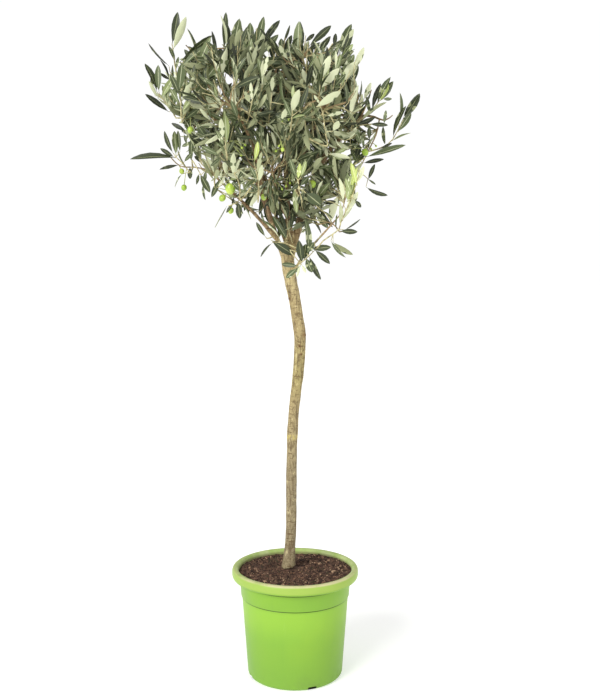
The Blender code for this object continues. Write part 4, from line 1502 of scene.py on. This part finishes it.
def growSprouts(templates, bundles, twigSpots):
    rng = random.Random("sprouts")
    shoots, shape = [], sproutShape
    leaving, arriving = shape["bends"]
    for limb, share, way, length in sprouts:
        start, along = placeOn(paths[limb], share)
        out = Vector(way).normalized()
        root = start + out * shape["off"]
        end = start + out * length + Vector((0, 0, length * shape["rise"]))
        bends = root + out * length * leaving, end - along * length * arriving
        path = interpolate_bezier(root, *bends, end, len(shape["radii"])), shape["radii"]
        addTube(bundles["shoots"], *path, 5)
        shoots.append((path, True, shape["vigour"]))
    return dressShoots("", shoots, templates, bundles, twigSpots, rng)


placing = {
    "foot": 0.0018,
    "tip": 0.0009,
    "limbRather": 0.02,  # how much further than a twig the limb may be that a placed shoot springs from
    "depth": (-0.014, 0.010),  # of a leaf's tip, before or behind its root
    "stalkFrom": 0.003,
    "stalk": [0.0008, 0.0006],
}


def growOutline(templates, bundles, twigSpots):
    rng = random.Random("outline")
    tree = treeOf(twigSpots)
    for shoot in placedShoots.values():
        points, blades = bladesOf(shoot)
        twig, _, toTwig = tree.find(points[0])
        limb, _, toLimb = strung[0].find(points[0])
        points.insert(0, limb if toLimb < toTwig + placing["limbRather"] else twig)
        taper = placing["foot"] - placing["tip"]
        radii = [placing["foot"] - taper * i / (len(points) - 1) for i in range(len(points))]
        addTube(bundles["shoots"], *finer((points, radii), growth["step"]), 6)
        for root, tip, wide, tone in blades:
            tip.y = max(tip.y + rng.uniform(*placing["depth"]), cadBox[0].y)
            near = min(points, key=lambda point: (point - root).length)
            if (near - root).length > placing["stalkFrom"]:
                addTube(bundles["shoots"], [near, root], placing["stalk"], 4)
            addBlade(bundles["leaves"], templates, tone, root, tip, wide, rng)
    return len(placedShoots)


def addBlade(bm, templates, tone, root, tip, wide, rng):
    # a placed leaf, turned about its length until it looks as wide as it should
    out = (tip - root).normalized()
    size = (tip - root).length / leaves["blade"]
    full = size * leaves["blade"] * sum(leaves["halfWidth"])
    up = eye - root
    up = (up - out * up.dot(out)).normalized()
    roll = math.acos(min(1, wide / full)) * rng.choice((-1, 1))
    up = Matrix.Rotation(roll, 3, out) @ up * (-1 if tone < 0 else 1)
    turn = Matrix((out.cross(up) * max(1, wide / full), out, up)).transposed().to_4x4()
    addCopy(bm, rng.choice(templates)[abs(tone)], Matrix.Translation(root) @ turn @ Matrix.Scale(size, 4))


def twigMaterial(name, colour, roughness, gloss, dark, pale):
    f = Finish(name, colour, roughness, gloss)
    grain = f.noise(90, detail=5)
    return f.wear(f.mix(f.between(grain, 0.35, 0.65), dark, pale), None, grain, 0.0006, 0.5)


def makeFoliage():
    templates = leafTemplates()
    bundles = {"wood": bmesh.new(), "shoots": bmesh.new(), "leaves": bmesh.new()}
    twigSpots, blinds = [], []
    names, perPiece = list(boughs), leaves["masses"]
    for i, name in enumerate(names):
        shoots, count = growMass(name, templates, bundles, twigSpots)
        print("mass", name, shoots, "shoots", count, "leaves")
        if name == names[-1]:
            print("sprouts: shoots, leaves", *growSprouts(templates, bundles, twigSpots))
            print("placed:", growOutline(templates, bundles, twigSpots), "shoots")
        if i % perPiece == perPiece - 1 or name == names[-1]:
            bm = bundles["leaves"]
            blinds.append(BVHTree.FromBMesh(bm))
            nodes = ["foliage_" + n for n in names[i - i % perPiece : i + 1]]
            number = i // perPiece
            piece = newPiece(f"leaves{number}", bm, leafMaterials(), "olive_leaf", nodes, smooth=False)
            print(piece.name, sum(len(face.vertices) - 2 for face in piece.data.polygons), "triangles")
            bundles["leaves"] = bmesh.new()
    wood = twigMaterial("twigBark", (132, 104, 74), 0.85, 0.2, (112, 92, 66), (176, 152, 114))
    young = twigMaterial("youngShoot", (170, 160, 116), 0.7, 0.25, (140, 130, 92), (204, 196, 148))
    newPiece("twigs", bundles["wood"], [wood], "olive_bark", sharpAngle=80)
    newPiece("youngShoots", bundles["shoots"], [young], "olive_leaf", sharpAngle=80)
    return twigSpots, blinds


olives = {
    "radius": 0.0066,
    "hang": 0.014,  # from the twig to the fruit's middle, less its radius
    "stretch": 0.045,  # the longest reach from a twig to where one shows
    "seen": [  # where one shows, in pixels of the view, and its size
        (190.5, 130, 1), (181.7, 171.3, 0.85), (184, 187.6, 0.95), (230.3, 188.7, 1.65), (222.4, 198, 1.1),
        (230.8, 210.5, 1), (263.8, 197, 0.95), (312.6, 184, 1.15), (365, 152.2, 1.1), (282.5, 149.5, 0.6),
        (242, 148, 0.42), (245, 145, 0.36), (241, 155, 0.4), (238, 151, 0.34), (276, 151, 0.4),
        (279, 146, 0.34), (285, 116, 0.42), (289, 120, 0.36), (282, 121, 0.34), (286, 186, 0.42),
        (282, 189, 0.36), (290, 183, 0.34), (376, 146, 0.36), (371, 149, 0.4),
    ],
    "below": 2,  # how much rather below its twig than above
    "inFront": 0.03,
    "choice": 60,  # twig spots that are tried for each
    "more": 14,  # at the back
    "moreBelow": 1.33,
    "moreSizes": (0.55, 1.05),
    "moreHang": 0.7,
    "sway": 0.006,
    "tall": 1.12,
    "ends": {"from": 1.08, "point": 0.06, "dent": 0.05},
    "stalk": [0.0009, 0.0007, 0.0010],
    "stalkBend": 0.003,
    "seed": 5,
}


def oliveTemplate():
    bm = bmesh.new()
    bmesh.ops.create_uvsphere(bm, u_segments=16, v_segments=12, radius=1)
    ends = olives["ends"]
    for vert in bm.verts:
        vert.co.z *= olives["tall"]
        if vert.co.z < -ends["from"]:
            vert.co.z -= ends["point"]
        if vert.co.z > ends["from"]:
            vert.co.z -= ends["dent"]
    for face in bm.faces:
        face.smooth = True
    return asTemplate(bm, "olive")


def oliveMaterial():
    f = Finish("greenOlive", (166, 198, 52), 0.3, 0.5, Coat_Weight=0.15)
    blotch = f.noise(60, detail=3)
    specks = f.noise(700, detail=2)
    colour = f.mix(f.between(blotch, 0.35, 0.65), (150, 180, 58), (192, 212, 92))
    colour = f.mix(f.between(specks, 0.62, 0.72) * 0.5, colour, (208, 222, 120))
    return f.wear(colour, 0.26 + blotch * 0.12, specks, 0.0002, 0.2)


def oliveAt(spot, u, v):  # the fruit's middle, hung from this spot and seen at the pixel
    apart = placeAt(u, v, spot.y) - spot
    return spot + apart.normalized() * min(apart.length, olives["stretch"])


def oliveMiss(spot, u, v, drop):  # how badly this spot suits such a fruit
    apart = placeAt(u, v, spot.y) - spot
    return abs(apart.length - drop) + max(0, apart.z) * olives["below"] + spot.y * olives["inFront"]


def oliveSpots(twigSpots, blinds, rng):  # twig spot, fruit's middle and radius of each
    hung = []
    for u, v, size in olives["seen"]:
        radius = olives["radius"] * size
        drop = radius + olives["hang"]
        ranked = sorted(twigSpots, key=lambda spot: oliveMiss(spot, u, v, drop))
        tried = ranked[: olives["choice"]]
        free = [spot for spot in tried if not blocked(oliveAt(spot, u, v), radius, blinds)]
        spot = (free or tried)[0]
        hung.append((spot, oliveAt(spot, u, v), radius))
    behind = [spot for spot in twigSpots if spot.z < olives["moreBelow"] and spot.y > 0]
    side = olives["sway"]
    for _ in range(olives["more"]):
        spot, radius = rng.choice(behind), olives["radius"] * rng.uniform(*olives["moreSizes"])
        sway = Vector((rng.uniform(-side, side), rng.uniform(-side, side), 0))
        drop = Vector((0, 0, radius + olives["hang"] * olives["moreHang"]))
        hung.append((spot, spot + sway - drop, radius))
    return hung


def blocked(middle, radius, blinds):  # whether a leaf stands before it
    way = (middle - eye).normalized()
    reach = (middle - eye).length - radius
    return any(blind.ray_cast(eye, way, reach)[0] for blind in blinds)


def makeOlives(twigSpots, blinds):
    rng = random.Random(olives["seed"])
    template = oliveTemplate()
    fruit, stalks = bmesh.new(), bmesh.new()
    made = 0
    for spot, middle, radius in oliveSpots(twigSpots, blinds, rng):
        if offLimbs(middle, radius + growth["clear"]):
            hang = (spot - middle).normalized()
            tilt = Vector((0, 0, 1)).rotation_difference((hang + Vector((0, 0, 1))).normalized())
            turn = tilt.to_matrix().to_4x4()
            addCopy(fruit, template, Matrix.Translation(middle) @ turn @ Matrix.Scale(radius, 4))
            top = middle + tilt @ Vector((0, 0, radius))
            bend = spot.lerp(top, 0.5) + Vector((0, 0, olives["stalkBend"]))
            addTube(stalks, [spot, bend, top], olives["stalk"], 5)
            made += 1
    newPiece("olives", fruit, [oliveMaterial()], "olive_leaf", smooth=False)
    stalk = Finish("oliveStalk", (158, 168, 100), 0.6)
    grain = stalk.noise(200, detail=3)
    stalk.wear(stalk.mix(grain, (140, 150, 86), (176, 184, 116)))
    newPiece("oliveStalks", stalks, [stalk.material], "olive_leaf")
    print("olives:", made)


setUpStudio()
makePot()
makeSoilBed()
makeChips()
makeBark()
makeOlives(*makeFoliage())
